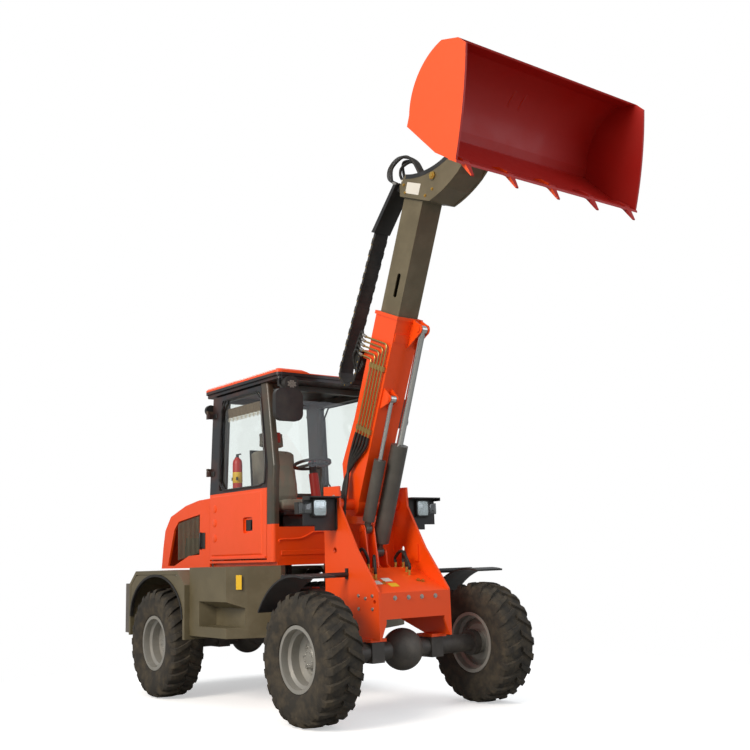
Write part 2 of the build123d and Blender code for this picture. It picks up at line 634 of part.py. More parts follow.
GLASS_T = 8
with BuildPart() as cab_glass:
    low = screen_x(SCREEN_LOW) - 10
    high = screen_x(GLASS_TOP) - 11
    slab(side, [(low, SCREEN_LOW + SEAM), (296, 2000), (high, GLASS_TOP - SEAM), (high - GLASS_T, GLASS_TOP - SEAM),
                (296 - GLASS_T, 2000), (low - GLASS_T, SCREEN_LOW + SEAM)], -CAB_HALF, CAB_HALF)
    between(PILLAR_T, 0, 400)
    with BuildPart(mode=Mode.PRIVATE) as rear_pane:
        block(CAB_REAR + 6, CAB_REAR + 6 + GLASS_T, -CAB_HALF, CAB_HALF, RAIL_Z + 40 + SEAM, GLASS_TOP - SEAM)
        between(POST_IN, CAB_REAR, POST_X)
    add(rear_pane.part)
save(cab_glass, "cab_glass")

# doors, lapping over the rear posts and upper rails
DOOR = [(DOOR_REAR, 1210), (179, 1210), (200, 2000), (46, DOOR_TOP), (DOOR_REAR, DOOR_TOP)]
WINDOW = [(-665, 1840), (160, 1840), (168, 2000), (40, 2690), (-665, 2690)]
WINDOW_ROUND = 30
for hand, sign in (("right", -1), ("left", 1)):
    with BuildPart() as door:
        wall(sign, DOOR_REAR - 5, 210, 1206, DOOR_TOP + 5, 0, WALL)
        slab(side, DOOR, -CAB_HALF - 50, CAB_HALF + 50, Mode.INTERSECT)
        slab(side, WINDOW, -CAB_HALF - 50, CAB_HALF + 50, Mode.SUBTRACT, radius=WINDOW_ROUND)
        # raised panel, ledge at the foot, and the recess of the latch
        tapered(sign, (CAB_HALF - 2, -800, 112, 1240, 1800), (CAB_HALF + 8, -786, 98, 1256, 1784))
        y0 = min(sign * (CAB_HALF - 2), sign * (CAB_HALF + 12))
        block(DOOR_REAR + 8, 170, y0, y0 + 14, 1214, 1230)
        y0 = min(sign * (CAB_HALF - 14), sign * (CAB_HALF + 30))
        slab(side, [(-205, 1435), (-40, 1435), (-40, 1575), (-205, 1575)], y0, y0 + 44, Mode.SUBTRACT, radius=25)
        for z in HINGE_Z:
            root = half_width(z + 24) - 20
            y0 = min(sign * root, sign * HINGE[1])
            block(HINGE[0] + 8, DOOR_REAR + 24, y0, y0 + HINGE[1] - root, z - 24, z + 24)
            with Locations((HINGE[0], sign * HINGE[1], z)):
                Cylinder(13, 48)
                Cylinder(6 + PIN_FIT, 60, mode=Mode.SUBTRACT)
    save(door, "door_" + hand)
    with BuildPart() as pane:
        wall(sign, -700, 200, BELT_Z + 1, GLASS_TOP, 16, 16 + GLASS_T)
        with BuildSketch(side(CAB_HALF + 50)):
            with BuildLine():
                FilletPolyline(*WINDOW, radius=WINDOW_ROUND, close=True)
            make_face()
            offset(amount=-SEAM)
        extrude(amount=2 * CAB_HALF + 100, mode=Mode.INTERSECT)
    save(pane, "door_" + hand + "_glass")

SEAT_X = -615
with BuildPart() as seat:
    slab(side, [(SEAT_X, 1640), (SEAT_X + 460, 1640), (SEAT_X + 480, 1700), (SEAT_X + 450, 1745), (SEAT_X, 1730)],
         -245, 245)
    slab(side, [(SEAT_X - 15, 1700), (SEAT_X - 3, 1750), (SEAT_X - 60, 2260), (SEAT_X - 160, 2250),
                (SEAT_X - 120, 1700)], -240, 240)
    slab(side, [(SEAT_X - 80, 2275), (SEAT_X - 95, 2430), (SEAT_X - 170, 2425), (SEAT_X - 165, 2275)], -130, 130)
save(seat, "seat")

WHEEL_AT = (-20, 0, 2045)
with BuildPart() as cab_controls:
    # seat box, pan and back shell
    block(SEAT_X + 20, SEAT_X + 400, -200, 200, FLOOR_Z + SEAM, 1600)
    block(SEAT_X - 10, SEAT_X + 450, -225, 225, 1600, 1640 - SEAM)
    block(SEAT_X - 145, SEAT_X - 5, -225, 225, 1610, 1640 - SEAM)
    slab(side, [(SEAT_X - 142, 1635), (SEAT_X - 116, 1635), (SEAT_X - 120.4, 1700), (SEAT_X - 160.4, 2250),
                (SEAT_X - 186, 2250)], -210, 210)
    slab(side, [(SEAT_X - 186, 2240), (SEAT_X - 161, 2252), (SEAT_X - 165.4, 2275), (SEAT_X - 170.4, 2425),
                (SEAT_X - 190, 2425)], -60, 60)
    # steering column and wheel
    block(70, 190, -60, 60, FLOOR_Z + SEAM, FLOOR_Z + 40)
    bar((130, 0, FLOOR_Z + 20), WHEEL_AT, 34)
    with BuildSketch(Plane(origin=WHEEL_AT, x_dir=(0, 1, 0), z_dir=(-0.2, 0, 1))):
        Circle(178)
        Circle(154, mode=Mode.SUBTRACT)
        for turn in (0, 120, 240):
            with Locations(Location((0, 0, 0), (0, 0, turn)) * Location((82, 0, 0))):
                Rectangle(164, 26)
        Circle(40)
    extrude(amount=22)
    # console at the driver's right, with its lever
    block(-620, -180, -410, -290, FLOOR_Z + SEAM, 1760)
    bar((-260, -350, 1755), (-230, -350, 1900), 12)
    with Locations((-228, -350, 1915)):
        Sphere(28)
save(cab_controls, "cab_controls")

LAMP_R = 68
LAMP_AT = (380, 505, 2700)
REAR_LAMP_Z = 2628
with BuildPart() as mirrors_and_lamps:
    for sign in (1, -1):
        # mirror on its arm
        with BuildSketch(Plane(origin=(470, sign * 582, 2500), x_dir=(0, 1, 0), z_dir=(1, 0, 0))) as glass:
            RectangleRounded(275, 280, 70)
        extrude(glass.sketch, amount=50)
        bar((495, sign * 620, 2620), (350, sign * 575, 2700), 9)
        block(338, 362, sign * 575 - 12, sign * 575 + 12, 2685, EAVE_Z - SEAM)
        # work lamp below the eave
        x, y, z = LAMP_AT
        bar((x, sign * y, z), (x + 60, sign * y, z), LAMP_R)
        block(x - 30, x + 4, sign * y - 10, sign * y + 10, z + 5, z + 25)
        block(x - 30, x - 10, sign * y - 10, sign * y + 10, z + 20, EAVE_Z - SEAM)
        # rear work lamp on a stub from the post
        stub = half_width(REAR_LAMP_Z) - POST_OUT - 16
        bar((CAB_REAR - 55, sign * 590, REAR_LAMP_Z), (CAB_REAR - 18, sign * 590, REAR_LAMP_Z), 52)
        bar((CAB_REAR - 30, sign * (stub - 10), REAR_LAMP_Z), (CAB_REAR - 30, sign * 580, REAR_LAMP_Z), 11)
        bar((CAB_REAR - 30, sign * stub, REAR_LAMP_Z), (CAB_REAR - SEAM, sign * stub, REAR_LAMP_Z), 14)
save(mirrors_and_lamps, "mirrors_and_lamps")

# ================================================================ front fenders and headlamps
FENDER_R = 617
FENDER_T = 14
FENDER_ARC = (77, 70)
FENDER_Y = (WHEEL_Y - 140, WHEEL_Y + 155)
STAY = (AXLE_X - 220, 1064)
with BuildPart() as front_fenders:
    for sign in (1, -1):
        lo, hi = FENDER_Y if sign > 0 else (-FENDER_Y[1], -FENDER_Y[0])
        band(side(hi), (AXLE_X - 9, HUB_Z - 4), FENDER_R, FENDER_R - FENDER_T, *FENDER_ARC, hi - lo)
        # tube from the tower across the top of the fender, on its bracket
        x, z = STAY
        bar((x, sign * (TOWER_OUT + SEAM), z), (x, sign * (FENDER_Y[1] - 40), z), 20)
        lo = min(sign * (TOWER_OUT + SEAM), sign * (TOWER_OUT + 12))
        block(x - 15, x + 15, lo, lo + 12 - SEAM, z - 34, z + 51)
save(front_fenders, "front_fenders")

LAMP_Y = 542
LAMP_Z = 1603
with BuildPart() as headlamps:
    for sign in (1, -1):
        # mounting plate and cross plate
        lo = min(sign * (TOWER_OUT + SEAM), sign * (TOWER_OUT + 12))
        block(800, 885, lo, lo + 12 - SEAM, 1430, 1680)
        plate = [(TOWER_OUT + 5, 1420), (576, 1420), (576, 1464), (690, 1464), (690, 1690), (TOWER_OUT + 5, 1690)]
        front_slab(860, 872, [(sign * y, z) for y, z in plate])
        # lamp housing, indicator angled back at its side, shelf above with a lip
        lo = min(sign * (LAMP_Y - 75), sign * (LAMP_Y + 75))
        block(790, 889, lo, lo + 150, LAMP_Z - 73, LAMP_Z + 73)
        with BuildSketch(Plane.XY.offset(LAMP_Z - 48)) as indicator:
            with BuildLine():
                Polyline((800, sign * (LAMP_Y + 70)), (885, sign * (LAMP_Y + 70)), (854, sign * (LAMP_Y + 185)),
                         (800, sign * (LAMP_Y + 185)), close=True)
            make_face()
        extrude(indicator.sketch, amount=95)
        lo = min(sign * (TOWER_OUT + 5), sign * 690)
        block(860, 960, lo, lo + 685 - TOWER_OUT, 1684, 1694)
        lo = min(sign * 680, sign * 690)
        block(872, 960, lo, lo + 10, 1664, 1694)
save(headlamps, "headlamps")

# ================================================================ outer boom
with BuildPart() as outer_boom:
    back = [(113, 161), (280, 252), (560, 227), (700, BOOM_HIGH)]
    outline = [(-40, -BOOM_FOOT_R + 8), (60, BOOM_LOW), (BOOM_END, BOOM_LOW), (BOOM_END, BOOM_HIGH)]
    slab(boom_side, outline + back[::-1] + [(-40, BOOM_FOOT_R - 8)], -BOOM_HALF, BOOM_HALF)
    disc(boom_side, (0, 0), BOOM_FOOT_R, -BOOM_HALF, BOOM_HALF)
    slab(boom_side, [(270, BOOM_LOW + BOOM_WALL), (BOOM_END + 1, BOOM_LOW + BOOM_WALL),
                     (BOOM_END + 1, BOOM_HIGH - BOOM_WALL), (270, BOOM_HIGH - BOOM_WALL)],
         -BOOM_HALF + BOOM_WALL, BOOM_HALF - BOOM_WALL, Mode.SUBTRACT)
    disc(boom_side, (0, 0), BOOM_PIN_R + PIN_FIT, -BOOM_HALF, BOOM_HALF, Mode.SUBTRACT)
    # collar at the mouth
    slab(boom_side, [(BOOM_END - 30, BOOM_LOW - 10), (BOOM_END, BOOM_LOW - 10), (BOOM_END, BOOM_HIGH + 10),
                     (BOOM_END - 30, BOOM_HIGH + 10)], -BOOM_HALF - 10, BOOM_HALF + 10)
    slab(boom_side, [(BOOM_END - 40, BOOM_LOW + BOOM_WALL), (BOOM_END + 1, BOOM_LOW + BOOM_WALL),
                     (BOOM_END + 1, BOOM_HIGH - BOOM_WALL), (BOOM_END - 40, BOOM_HIGH - BOOM_WALL)],
         -BOOM_HALF + BOOM_WALL, BOOM_HALF - BOOM_WALL, Mode.SUBTRACT)
    # doubler, and gusset ears for the two rod eyes with the heads of their split pins
    slab(boom_side, [(1430, BOOM_LOW - 8), (1500, BOOM_LOW - 8), (1500, BOOM_LOW + 2), (1430, BOOM_LOW + 2)],
         -BOOM_HALF + 10, 30)
    lift_gusset = [(1385, BOOM_LOW + 2), (1640, BOOM_LOW + 2), (1612, -202), (1545, -208)]
    comp_gusset = [(860, BOOM_LOW + 2), (1040, BOOM_LOW + 2), (1002, -172), (938, -178)]
    for points, pin, r, pair in ((lift_gusset, LIFT_TOP, 44, LIFT_EARS), (comp_gusset, COMP_TOP, 35, COMP_EARS)):
        for y, out in zip(pair, (-1, 1)):
            slab(boom_side, points, y - EAR_T / 2, y + EAR_T / 2)
            disc(boom_side, pin, r, y - EAR_T / 2, y + EAR_T / 2)
            disc(boom_side, pin, CYL_PIN_R + 4, y + out * PIN_HEAD / 2 - 7, y + out * PIN_HEAD / 2 + 7)
    # bracket of the energy chain
    slab(boom_side, [(1215, BOOM_HIGH - 4), (1285, BOOM_HIGH - 4), (1285, 288.7), (1215, 288.7)], -110, -4)
save(outer_boom, "outer_boom")

PIPE_R = 8
with BuildPart() as boom_pipes:
    for i in range(5):
        h = -50 + i * 42
        top = 1400 - i * 40
        with BuildLine(boom_side(-BOOM_HALF - 12 - PIPE_R)) as route:
            FilletPolyline((600, h), (top, h), (top, 262), radius=38)
        with BuildSketch(Plane(origin=route.line @ 0, z_dir=route.line % 0)):
            Circle(PIPE_R)
        sweep(path=route.line)
    for s in (650, 1190):
        slab(boom_side, [(s - 20, -70), (s + 20, -70), (s + 20, 140), (s - 20, 140)],
             -BOOM_HALF - 14 - PIPE_R, -BOOM_HALF - SEAM)
save(boom_pipes, "boom_pipes")

CHAIN_T = 34
CHAIN = (-158, -4)
with BuildPart() as energy_chain:
    r_out = (542 - 307) / 2 + CHAIN_T / 2
    mid = (542 + 307) / 2
    slab(boom_side, [(1055, 307 - 17), (1270, 289), (1270, 289 + CHAIN_T), (1055, 307 + 17)], *CHAIN)
    slab(boom_side, [(1055, 542 - 17), (2267.7, 440 - 17), (2267.7, 440 + 17), (1055, 542 + 17)], *CHAIN)
    with BuildSketch(boom_side(CHAIN[1])):
        with Locations((1055, mid)):
            Circle(r_out)
            Circle(r_out - CHAIN_T, mode=Mode.SUBTRACT)
        with Locations((1055 + 200, mid)):
            Rectangle(400, 400, mode=Mode.SUBTRACT)
    extrude(amount=CHAIN[1] - CHAIN[0])
save(energy_chain, "energy_chain")

# ================================================================ inner boom and head
with BuildPart() as inner_boom:
    slab(boom_side, [(INNER_START, INNER_LOW), (INNER_END, INNER_LOW), (INNER_END, INNER_HIGH),
                     (INNER_START, INNER_HIGH)], -INNER_HALF, INNER_HALF)
    slab(boom_side, [(INNER_START - 1, INNER_LOW + INNER_WALL), (INNER_END + 1, INNER_LOW + INNER_WALL),
                     (INNER_END + 1, INNER_HIGH - INNER_WALL), (INNER_START - 1, INNER_HIGH - INNER_WALL)],
         -INNER_HALF + INNER_WALL, INNER_HALF - INNER_WALL, Mode.SUBTRACT)
    slab(boom_side, [(1785, 22), (1985, 22), (1985, 67), (1785, 67)], -150, 0, Mode.SUBTRACT, radius=20)
save(inner_boom, "inner_boom")

B = to_boom(*PB)
G = to_boom(*PG)
HEAD_END_R = 100
HEAD_CURVE = (3584, 242)
HEAD_CURVE_R = 798
up = atan2(HEAD_CURVE[1] - B[1], HEAD_CURVE[0] - B[0])
down = atan2(B[1] + 451, B[0] - 2850) - radians(90)
upper_end = (B[0] + HEAD_END_R * cos(up), B[1] + HEAD_END_R * sin(up))
lower_end = (B[0] + HEAD_END_R * cos(down), B[1] + HEAD_END_R * sin(down))
with BuildPart() as boom_head:
    for lo in (-HEAD_HALF, HEAD_IN):
        with BuildSketch(boom_side(lo + HEAD_SKIN)) as cheek:
            with BuildLine():
                Polyline((2603, -183), (2603, 209), (2687, 245), (2787, 198))
                ThreePointArc((2787, 198), (2928, -213), upper_end)
                Polyline(upper_end, lower_end, (2850, -451))
                ThreePointArc((2850, -451), (2728, -344), (2603, -183))
            make_face()
        extrude(cheek.sketch, amount=HEAD_SKIN)
        disc(boom_side, B, HEAD_END_R, lo, lo + HEAD_SKIN)
    # socket on the end of the inner boom
    slab(boom_side, [(INNER_END + SEAM, INNER_LOW - 20), (INNER_END + 60, INNER_LOW - 40), (INNER_END + 60, 215),
                     (INNER_END + SEAM, 206)], -HEAD_IN - 1, HEAD_IN + 1)
    slab(boom_side, [(INNER_END - 10, INNER_LOW + 10), (INNER_END + 90, INNER_LOW + 10), (INNER_END + 90, 182),
                     (INNER_END - 10, 182)], -92, 92, Mode.SUBTRACT)
    # back plate, open in the middle where the lever swings, and belly plate
    for lo in (-HEAD_IN - 1, HEAD_IN - 38):
        slab(boom_side, [(2660, 222), (2687, 244), (2787, 197), (2768, 182), (2686, 222)], lo, lo + 39)
        band(boom_side(lo + 39), HEAD_CURVE, HEAD_CURVE_R + 21, HEAD_CURVE_R + 1, 183, 49, 39)
    slab(boom_side, [(2606, -186), (2728, -344), (2850, -451), (3120, -535), (3125, -520), (2858, -435),
                     (2740, -330), (2622, -175)], -HEAD_IN - 1, HEAD_IN + 1)
    slab(boom_side, [(2606, -186), (2622, -175), (INNER_END + 30, INNER_LOW - 10), (INNER_END + 4, INNER_LOW - 20)],
         -HEAD_IN - 1, HEAD_IN + 1)
    disc(boom_side, B, PIVOT_R, -HEAD_HALF - 6, HEAD_HALF + 6)
    disc(boom_side, G, PIVOT_R, -HEAD_HALF - 6, HEAD_HALF + 6)
save(boom_head, "boom_head")

with BuildPart() as hose_guide:
    slab(boom_side, [(2268, 424), (2690, 262), (2690, 272), (2268, 434)], -165, 3)
    for lo in (-165, -3):
        slab(boom_side, [(2268, 430), (2690, 270), (2690, 300), (2268, 470)], lo, lo + 6)
    slab(boom_side, [(2640, 225.2), (2686, 245 + SEAM), (2690, 264), (2640, 286)], -HEAD_HALF + 6, -10)
save(hose_guide, "hose_guide")

# ================================================================ tilt linkage
with BuildPart() as tilt_lever:
    with BuildSketch(side(18)):
        with BuildLine():
            d = hypot(PL[0] - PG[0], PL[1] - PG[1])
            a = atan2(PL[1] - PG[1], PL[0] - PG[0])
            nx, ny = -sin(a), cos(a)
            Polyline((PG[0] + 52 * nx, PG[1] + 52 * ny), (PL[0] + 40 * nx, PL[1] + 40 * ny),
                     (PL[0] - 40 * nx, PL[1] - 40 * ny), (PG[0] - 52 * nx, PG[1] - 52 * ny), close=True)
        make_face()
        with Locations(PG):
            Circle(52)
        with Locations(PL):
            Circle(40)
        with Locations(PG):
            Circle(PIVOT_R + PIN_FIT, mode=Mode.SUBTRACT)
        with Locations(PL):
            Circle(LINK_PIN_R + PIN_FIT, mode=Mode.SUBTRACT)
    extrude(amount=36)
save(tilt_lever, "tilt_lever")

with BuildPart() as tilt_link:
    a = atan2(PT[1] - PL[1], PT[0] - PL[0])
    nx, ny = -sin(a), cos(a)
    for lo in (22, -37):
        slab(side, [(PL[0] + 26 * nx, PL[1] + 26 * ny), (PT[0] + 26 * nx, PT[1] + 26 * ny),
                    (PT[0] - 26 * nx, PT[1] - 26 * ny), (PL[0] - 26 * nx, PL[1] - 26 * ny)], lo, lo + 15)
        disc(side, PL, 34, lo, lo + 15)
        disc(side, PT, 34, lo, lo + 15)
    disc(side, PL, LINK_PIN_R, -37, 37)
    disc(side, PT, LINK_PIN_R, -68, 68)
save(tilt_link, "tilt_link")

# ================================================================ bucket
with BuildPart() as bucket:
    half = BUCKET_SKIN / 2
    with BuildSketch(bucket_side(BUCKET_HALF)):
        with BuildLine():
            Polyline((636, 20), (407, -19), (0, 0), (-29, 72.5))
            ThreePointArc((-29, 72.5), (-122, 300), (-33, 620))
            Polyline((-33, 620), (124.5, 692), (124.5, 679), (-22, 610))
            ThreePointArc((-22, 610), (-110, 300), (-17, 78))
            Polyline((-17, 78), (10, 12), (407, -5), (630, 32), (636, 20))
        make_face()
    extrude(amount=2 * BUCKET_HALF)
    for lo in (-BUCKET_HALF, BUCKET_HALF - BUCKET_SIDE):
        with BuildSketch(bucket_side(lo + BUCKET_SIDE)):
            with BuildLine():
                Polyline((636, 20), (407, -19), (0, 0), (-29, 72.5))
                ThreePointArc((-29, 72.5), (-122, 300), (-33, 620))
                Polyline((-33, 620), (124.5, 692), BUCKET_LIP)
                ThreePointArc(BUCKET_LIP, (452, 360), (636, 20))
            make_face()
        extrude(amount=BUCKET_SIDE)
    # cutting edge and its teeth
    slab(bucket_side, [(560, 2), (640, 18), (652, 20), (640, 34), (560, 22)], -BUCKET_HALF, BUCKET_HALF)
    pitch = (BUCKET_HALF - 100) * 2 / (TEETH - 1)
    for i in range(TEETH):
        y = (i - (TEETH - 1) / 2) * pitch
        slab(bucket_side, [(430, -14), (600, 6), (616, 8), (616, 44), (520, 34), (450, 5)], y - 35, y + 35)
        ends = []
        for a, b, width, height in ((606, 26, 60, 34), (738, -14, 24, 9)):
            x, z = bucket_point(a, b)
            tilt = (cos(radians(BUCKET_DUMP)), 0, -sin(radians(BUCKET_DUMP)))
            with BuildSketch(Plane(origin=(x, y, z), x_dir=(0, 1, 0), z_dir=tilt)) as end:
                Rectangle(width, height)
            ends.append(end.sketch)
        loft(ends, ruled=True)
    # ears for the boom head and for the tilt link
    a, b = BUCKET_PIVOT
    c, d = (a + BUCKET_ARM[0], b + BUCKET_ARM[1])
    for lo in (-105, 85):
        slab(bucket_side, [(-15, 30), (a + 10, b - 52), (a - 52, b), (a - 20, b + 52), (-118, 300), (-95, 200)],
             lo, lo + 20)
        disc(bucket_side, (a, b), 56, lo, lo + 20)
    for lo in (-65, 45):
        slab(bucket_side, [(-118, 250), (c - 10, d - 44), (c - 44, d), (c - 10, d + 44), (-90, 520), (-105, 400)],
             lo, lo + 20)
        disc(bucket_side, (c, d), 46, lo, lo + 20)
    disc(bucket_side, (a, b), PIVOT_R + PIN_FIT, -300, 300, Mode.SUBTRACT)
    disc(bucket_side, (c, d), LINK_PIN_R + PIN_FIT, -300, 300, Mode.SUBTRACT)
save(bucket, "bucket")

# ================================================================ boom cylinders
lift_top = boom_point(*LIFT_TOP)
comp_top = boom_point(*COMP_TOP)
for name, y, foot, top, r_barrel, r_rod, ends, eye, pair, r_pin in (
        ("lift", LIFT_Y, LIFT_FOOT, lift_top, LIFT_BARREL_R, LIFT_ROD_R, LIFT_BARREL, 33, LIFT_EARS, CYL_PIN_R),
        ("comp", COMP_Y, COMP_FOOT, comp_top, COMP_BARREL_R, COMP_ROD_R, COMP_BARREL, 28, COMP_EARS, COMP_PIN_R)):
    span = hypot(top[0] - foot[0], top[1] - foot[1])
    ux, uz = (top[0] - foot[0]) / span, (top[1] - foot[1]) / span

    def at(distance):
        return (foot[0] + ux * distance, y, foot[1] + uz * distance)

    with BuildPart() as barrel:
        bar(at(ends[0]), at(ends[1]), r_barrel)
        bar(at(20), at(ends[0] + 5), 28)
        disc(side, foot, 40, y - eye, y + eye)
        disc(side, foot, CYL_PIN_R + PIN_FIT, y - 60, y + 60, Mode.SUBTRACT)
        bar(at(ends[0] + 30), at(ends[1] + 1), r_rod + ROD_FIT, Mode.SUBTRACT)
    save(barrel, name + "_barrel")
    with BuildPart() as rod:
        bar(at(ends[1] - 70), at(span - 20), r_rod)
        disc(side, top, r_pin + 13, y - ROD_EYE_HALF, y + ROD_EYE_HALF)
        reach = EAR_T / 2 + PIN_END_GAP
        disc(side, top, r_pin, pair[0] + reach, pair[1] - reach)
    save(rod, name + "_rod")

# ================================================================ steering cylinder
with BuildPart() as steer_barrel:
    start = STEER_FOOT[0] + STEER_BARREL[0]
    end = STEER_FOOT[0] + STEER_BARREL[1]
    bar((start, STEER_FOOT[1], STEER_Z), (end, STEER_FOOT[1], STEER_Z), 30)
    bar((STEER_FOOT[0] + 18, STEER_FOOT[1], STEER_Z), (start + 4, STEER_FOOT[1], STEER_Z), 18)
    with Locations((STEER_FOOT[0], STEER_FOOT[1], STEER_Z)):
        Cylinder(28, STEER_EYE_T)
        Cylinder(STEER_PIN_R + PIN_FIT, 60, mode=Mode.SUBTRACT)
    bar((start + 40, STEER_FOOT[1], STEER_Z), (end + 1, STEER_FOOT[1], STEER_Z), 14 + ROD_FIT, Mode.SUBTRACT)
save(steer_barrel, "steer_barrel")
with BuildPart() as steer_rod:
    bar((STEER_FOOT[0] + 205, STEER_FOOT[1], STEER_Z), (STEER_EYE[0] - 18, STEER_FOOT[1], STEER_Z), 14)
    with Locations((STEER_EYE[0], STEER_EYE[1], STEER_Z)):
        Cylinder(29, STEER_EYE_T)
        Cylinder(STEER_PIN_R, 44 - 2 * PIN_END_GAP)
save(steer_rod, "steer_rod")
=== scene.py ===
"""Looks of a compact telescopic wheel loader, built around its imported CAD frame."""

from math import cos, hypot, pi, radians, sin

import bmesh
import bpy
from mathutils import Matrix, Vector


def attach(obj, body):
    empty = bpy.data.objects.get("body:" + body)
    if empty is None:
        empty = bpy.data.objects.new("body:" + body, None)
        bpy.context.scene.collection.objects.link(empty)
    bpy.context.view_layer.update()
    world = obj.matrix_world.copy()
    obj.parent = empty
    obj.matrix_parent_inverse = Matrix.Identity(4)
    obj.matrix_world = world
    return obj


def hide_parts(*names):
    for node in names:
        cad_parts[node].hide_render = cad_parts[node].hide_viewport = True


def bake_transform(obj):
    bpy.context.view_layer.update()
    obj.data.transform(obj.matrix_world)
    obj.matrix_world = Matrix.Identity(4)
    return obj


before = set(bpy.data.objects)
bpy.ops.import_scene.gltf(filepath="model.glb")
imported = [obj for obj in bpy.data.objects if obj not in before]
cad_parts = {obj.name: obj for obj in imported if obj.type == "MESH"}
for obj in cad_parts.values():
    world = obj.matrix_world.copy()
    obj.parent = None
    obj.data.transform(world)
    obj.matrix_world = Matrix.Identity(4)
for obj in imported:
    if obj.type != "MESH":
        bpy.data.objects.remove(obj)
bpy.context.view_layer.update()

# ---------------- sizes, from the machine's own drawing
ORIGIN_X = 504.5  # middle of the machine's length, ahead of the steering pin
LIFT = 23  # the machine's own zero height above the floor
BOOM_PIN = (760, 1640)  # X and Z
BOOM_ANGLE = radians(67.5)
BUCKET_HEEL = (2627, 4149)
BUCKET_DUMP = radians(43)
WHEEL_X = 1225  # axles, ahead of and behind the steering pin
WHEEL_Y = 865
HUB_Z = 469
TYRE_R = 492
MM = 0.001  # a millimetre in the frame's metres


def at(x, y, z):
    """A point of the machine in millimetres, X from the steering pin, as a point of the frame."""
    return Vector(((x - ORIGIN_X) * MM, y * MM, (z + LIFT) * MM))


def boom_at(s, h, y):
    """A point s along the boom from its pin, h towards its back."""
    c, n = cos(BOOM_ANGLE), sin(BOOM_ANGLE)
    return at(BOOM_PIN[0] + s * c - h * n, y, BOOM_PIN[1] + s * n + h * c)


# ---------------- camera, lights and floor
CAMERA_SPOT = (7715.2, -5154.0, 1213.1)  # in the machine's millimetres
CAMERA_TURN = (2.489, 0.1769, -0.0298)  # yaw, pitch and roll in radians
SENSOR_MM = 36
LENS_MM = 48.30768


def place_camera():
    """Camera ahead of the machine's right front corner, a little over a metre up, looking upward."""
    yaw, pitch, roll = CAMERA_TURN
    ahead = Vector((cos(yaw) * cos(pitch), sin(yaw) * cos(pitch), sin(pitch)))
    right = Vector((sin(yaw), -cos(yaw), 0))
    up = right.cross(ahead)
    across = right * cos(roll) + up * sin(roll)
    upward = up * cos(roll) - right * sin(roll)
    data = bpy.data.cameras.new("camera")
    data.sensor_width = SENSOR_MM
    data.lens = LENS_MM
    data.clip_end = 200
    camera = bpy.data.objects.new("camera", data)
    turn = Matrix((across, upward, -ahead)).transposed().to_4x4()
    camera.matrix_world = Matrix.Translation(at(*CAMERA_SPOT)) @ turn
    bpy.context.scene.collection.objects.link(camera)
    bpy.context.scene.camera = camera


def linear(code, alpha=1.0):
    """Colour of an sRGB hex code as linear light."""
    parts = [int(code[i:i + 2], 16) / 255 for i in (1, 3, 5)]
    return tuple(c / 12.92 if c <= 0.04045 else ((c + 0.055) / 1.055) ** 2.4 for c in parts) + (alpha,)


def add(material, kind, settings=None, links=None):
    """Adds a shader node with its settings, and links its inputs to (node, output) pairs."""
    node = material.node_tree.nodes.new("ShaderNode" + kind)
    for name, value in (settings or {}).items():
        if isinstance(name, str) and hasattr(node, name) and name not in node.inputs:
            setattr(node, name, value)
        else:
            node.inputs[name].default_value = value
    for name, (source, output) in (links or {}).items():
        material.node_tree.links.new(source.outputs[output], node.inputs[name])
    return node


def blank(material):
    """The new material or world, its node tree emptied."""
    material.use_nodes = True
    material.node_tree.nodes.clear()
    return material


def finish(material, shader):
    """Sends the shader to the surface."""
    add(material, "OutputMaterial", None, {"Surface": (shader, 0)})
    return material


def coated(name, colour, rough, metal=0.0, dust="#8a7d6c", dust_amount=0.25, patch_mm=180, grain_mm=4,
           grain_depth=0.0, coat=0.0):
    """Opaque finish with an uneven film of dust and a fine surface grain, both sized in millimetres."""
    material = blank(bpy.data.materials.new(name))
    place = add(material, "NewGeometry")
    patch = add(material, "TexNoise", {"Scale": 1000 / patch_mm, "Detail": 6.0, "Roughness": 0.62},
                {"Vector": (place, "Position")})
    film = add(material, "MapRange", {"From Min": 0.42, "From Max": 0.78, "To Min": 0.0,
                                                "To Max": dust_amount}, {"Value": (patch, "Fac")})
    base = add(material, "Mix", {"data_type": "RGBA", 6: linear(colour), 7: linear(dust)}, {0: (film, 0)})
    sheen = add(material, "MapRange", {"From Min": 0.3, "From Max": 0.8, "To Min": rough - 0.06,
                                                 "To Max": min(1.0, rough + 0.16)}, {"Value": (patch, "Fac")})
    shader = add(material, "BsdfPrincipled", {"Metallic": metal, "Coat Weight": coat},
                 {"Base Color": (base, 2), "Roughness": (sheen, 0)})
    if grain_depth:
        grain = add(material, "TexNoise", {"Scale": 1000 / grain_mm, "Detail": 2.0},
                    {"Vector": (place, "Position")})
        bump = add(material, "Bump", {"Distance": grain_depth * MM, "Strength": 0.6},
                   {"Height": (grain, "Fac")})
        material.node_tree.links.new(bump.outputs[0], shader.inputs["Normal"])
    return finish(material, shader)


# name, place, size in metres, watts and colour of each soft lamp
LAMPS = (("key", (2.5, -9.5, 7.0), 4.5, 900, "#fff6ea"), ("fill", (9.0, 4.0, 5.0), 6.0, 150, "#eef4ff"),
         ("back", (-6.0, 2.0, 8.0), 5.0, 260, "#ffffff"))
LAMPS_AIM = Vector((0.2, 0, 1.6))
FLOOR_SIZE = 60
FLOOR_FADE = (2.4, 4.6)  # the floor turns plain white between these distances


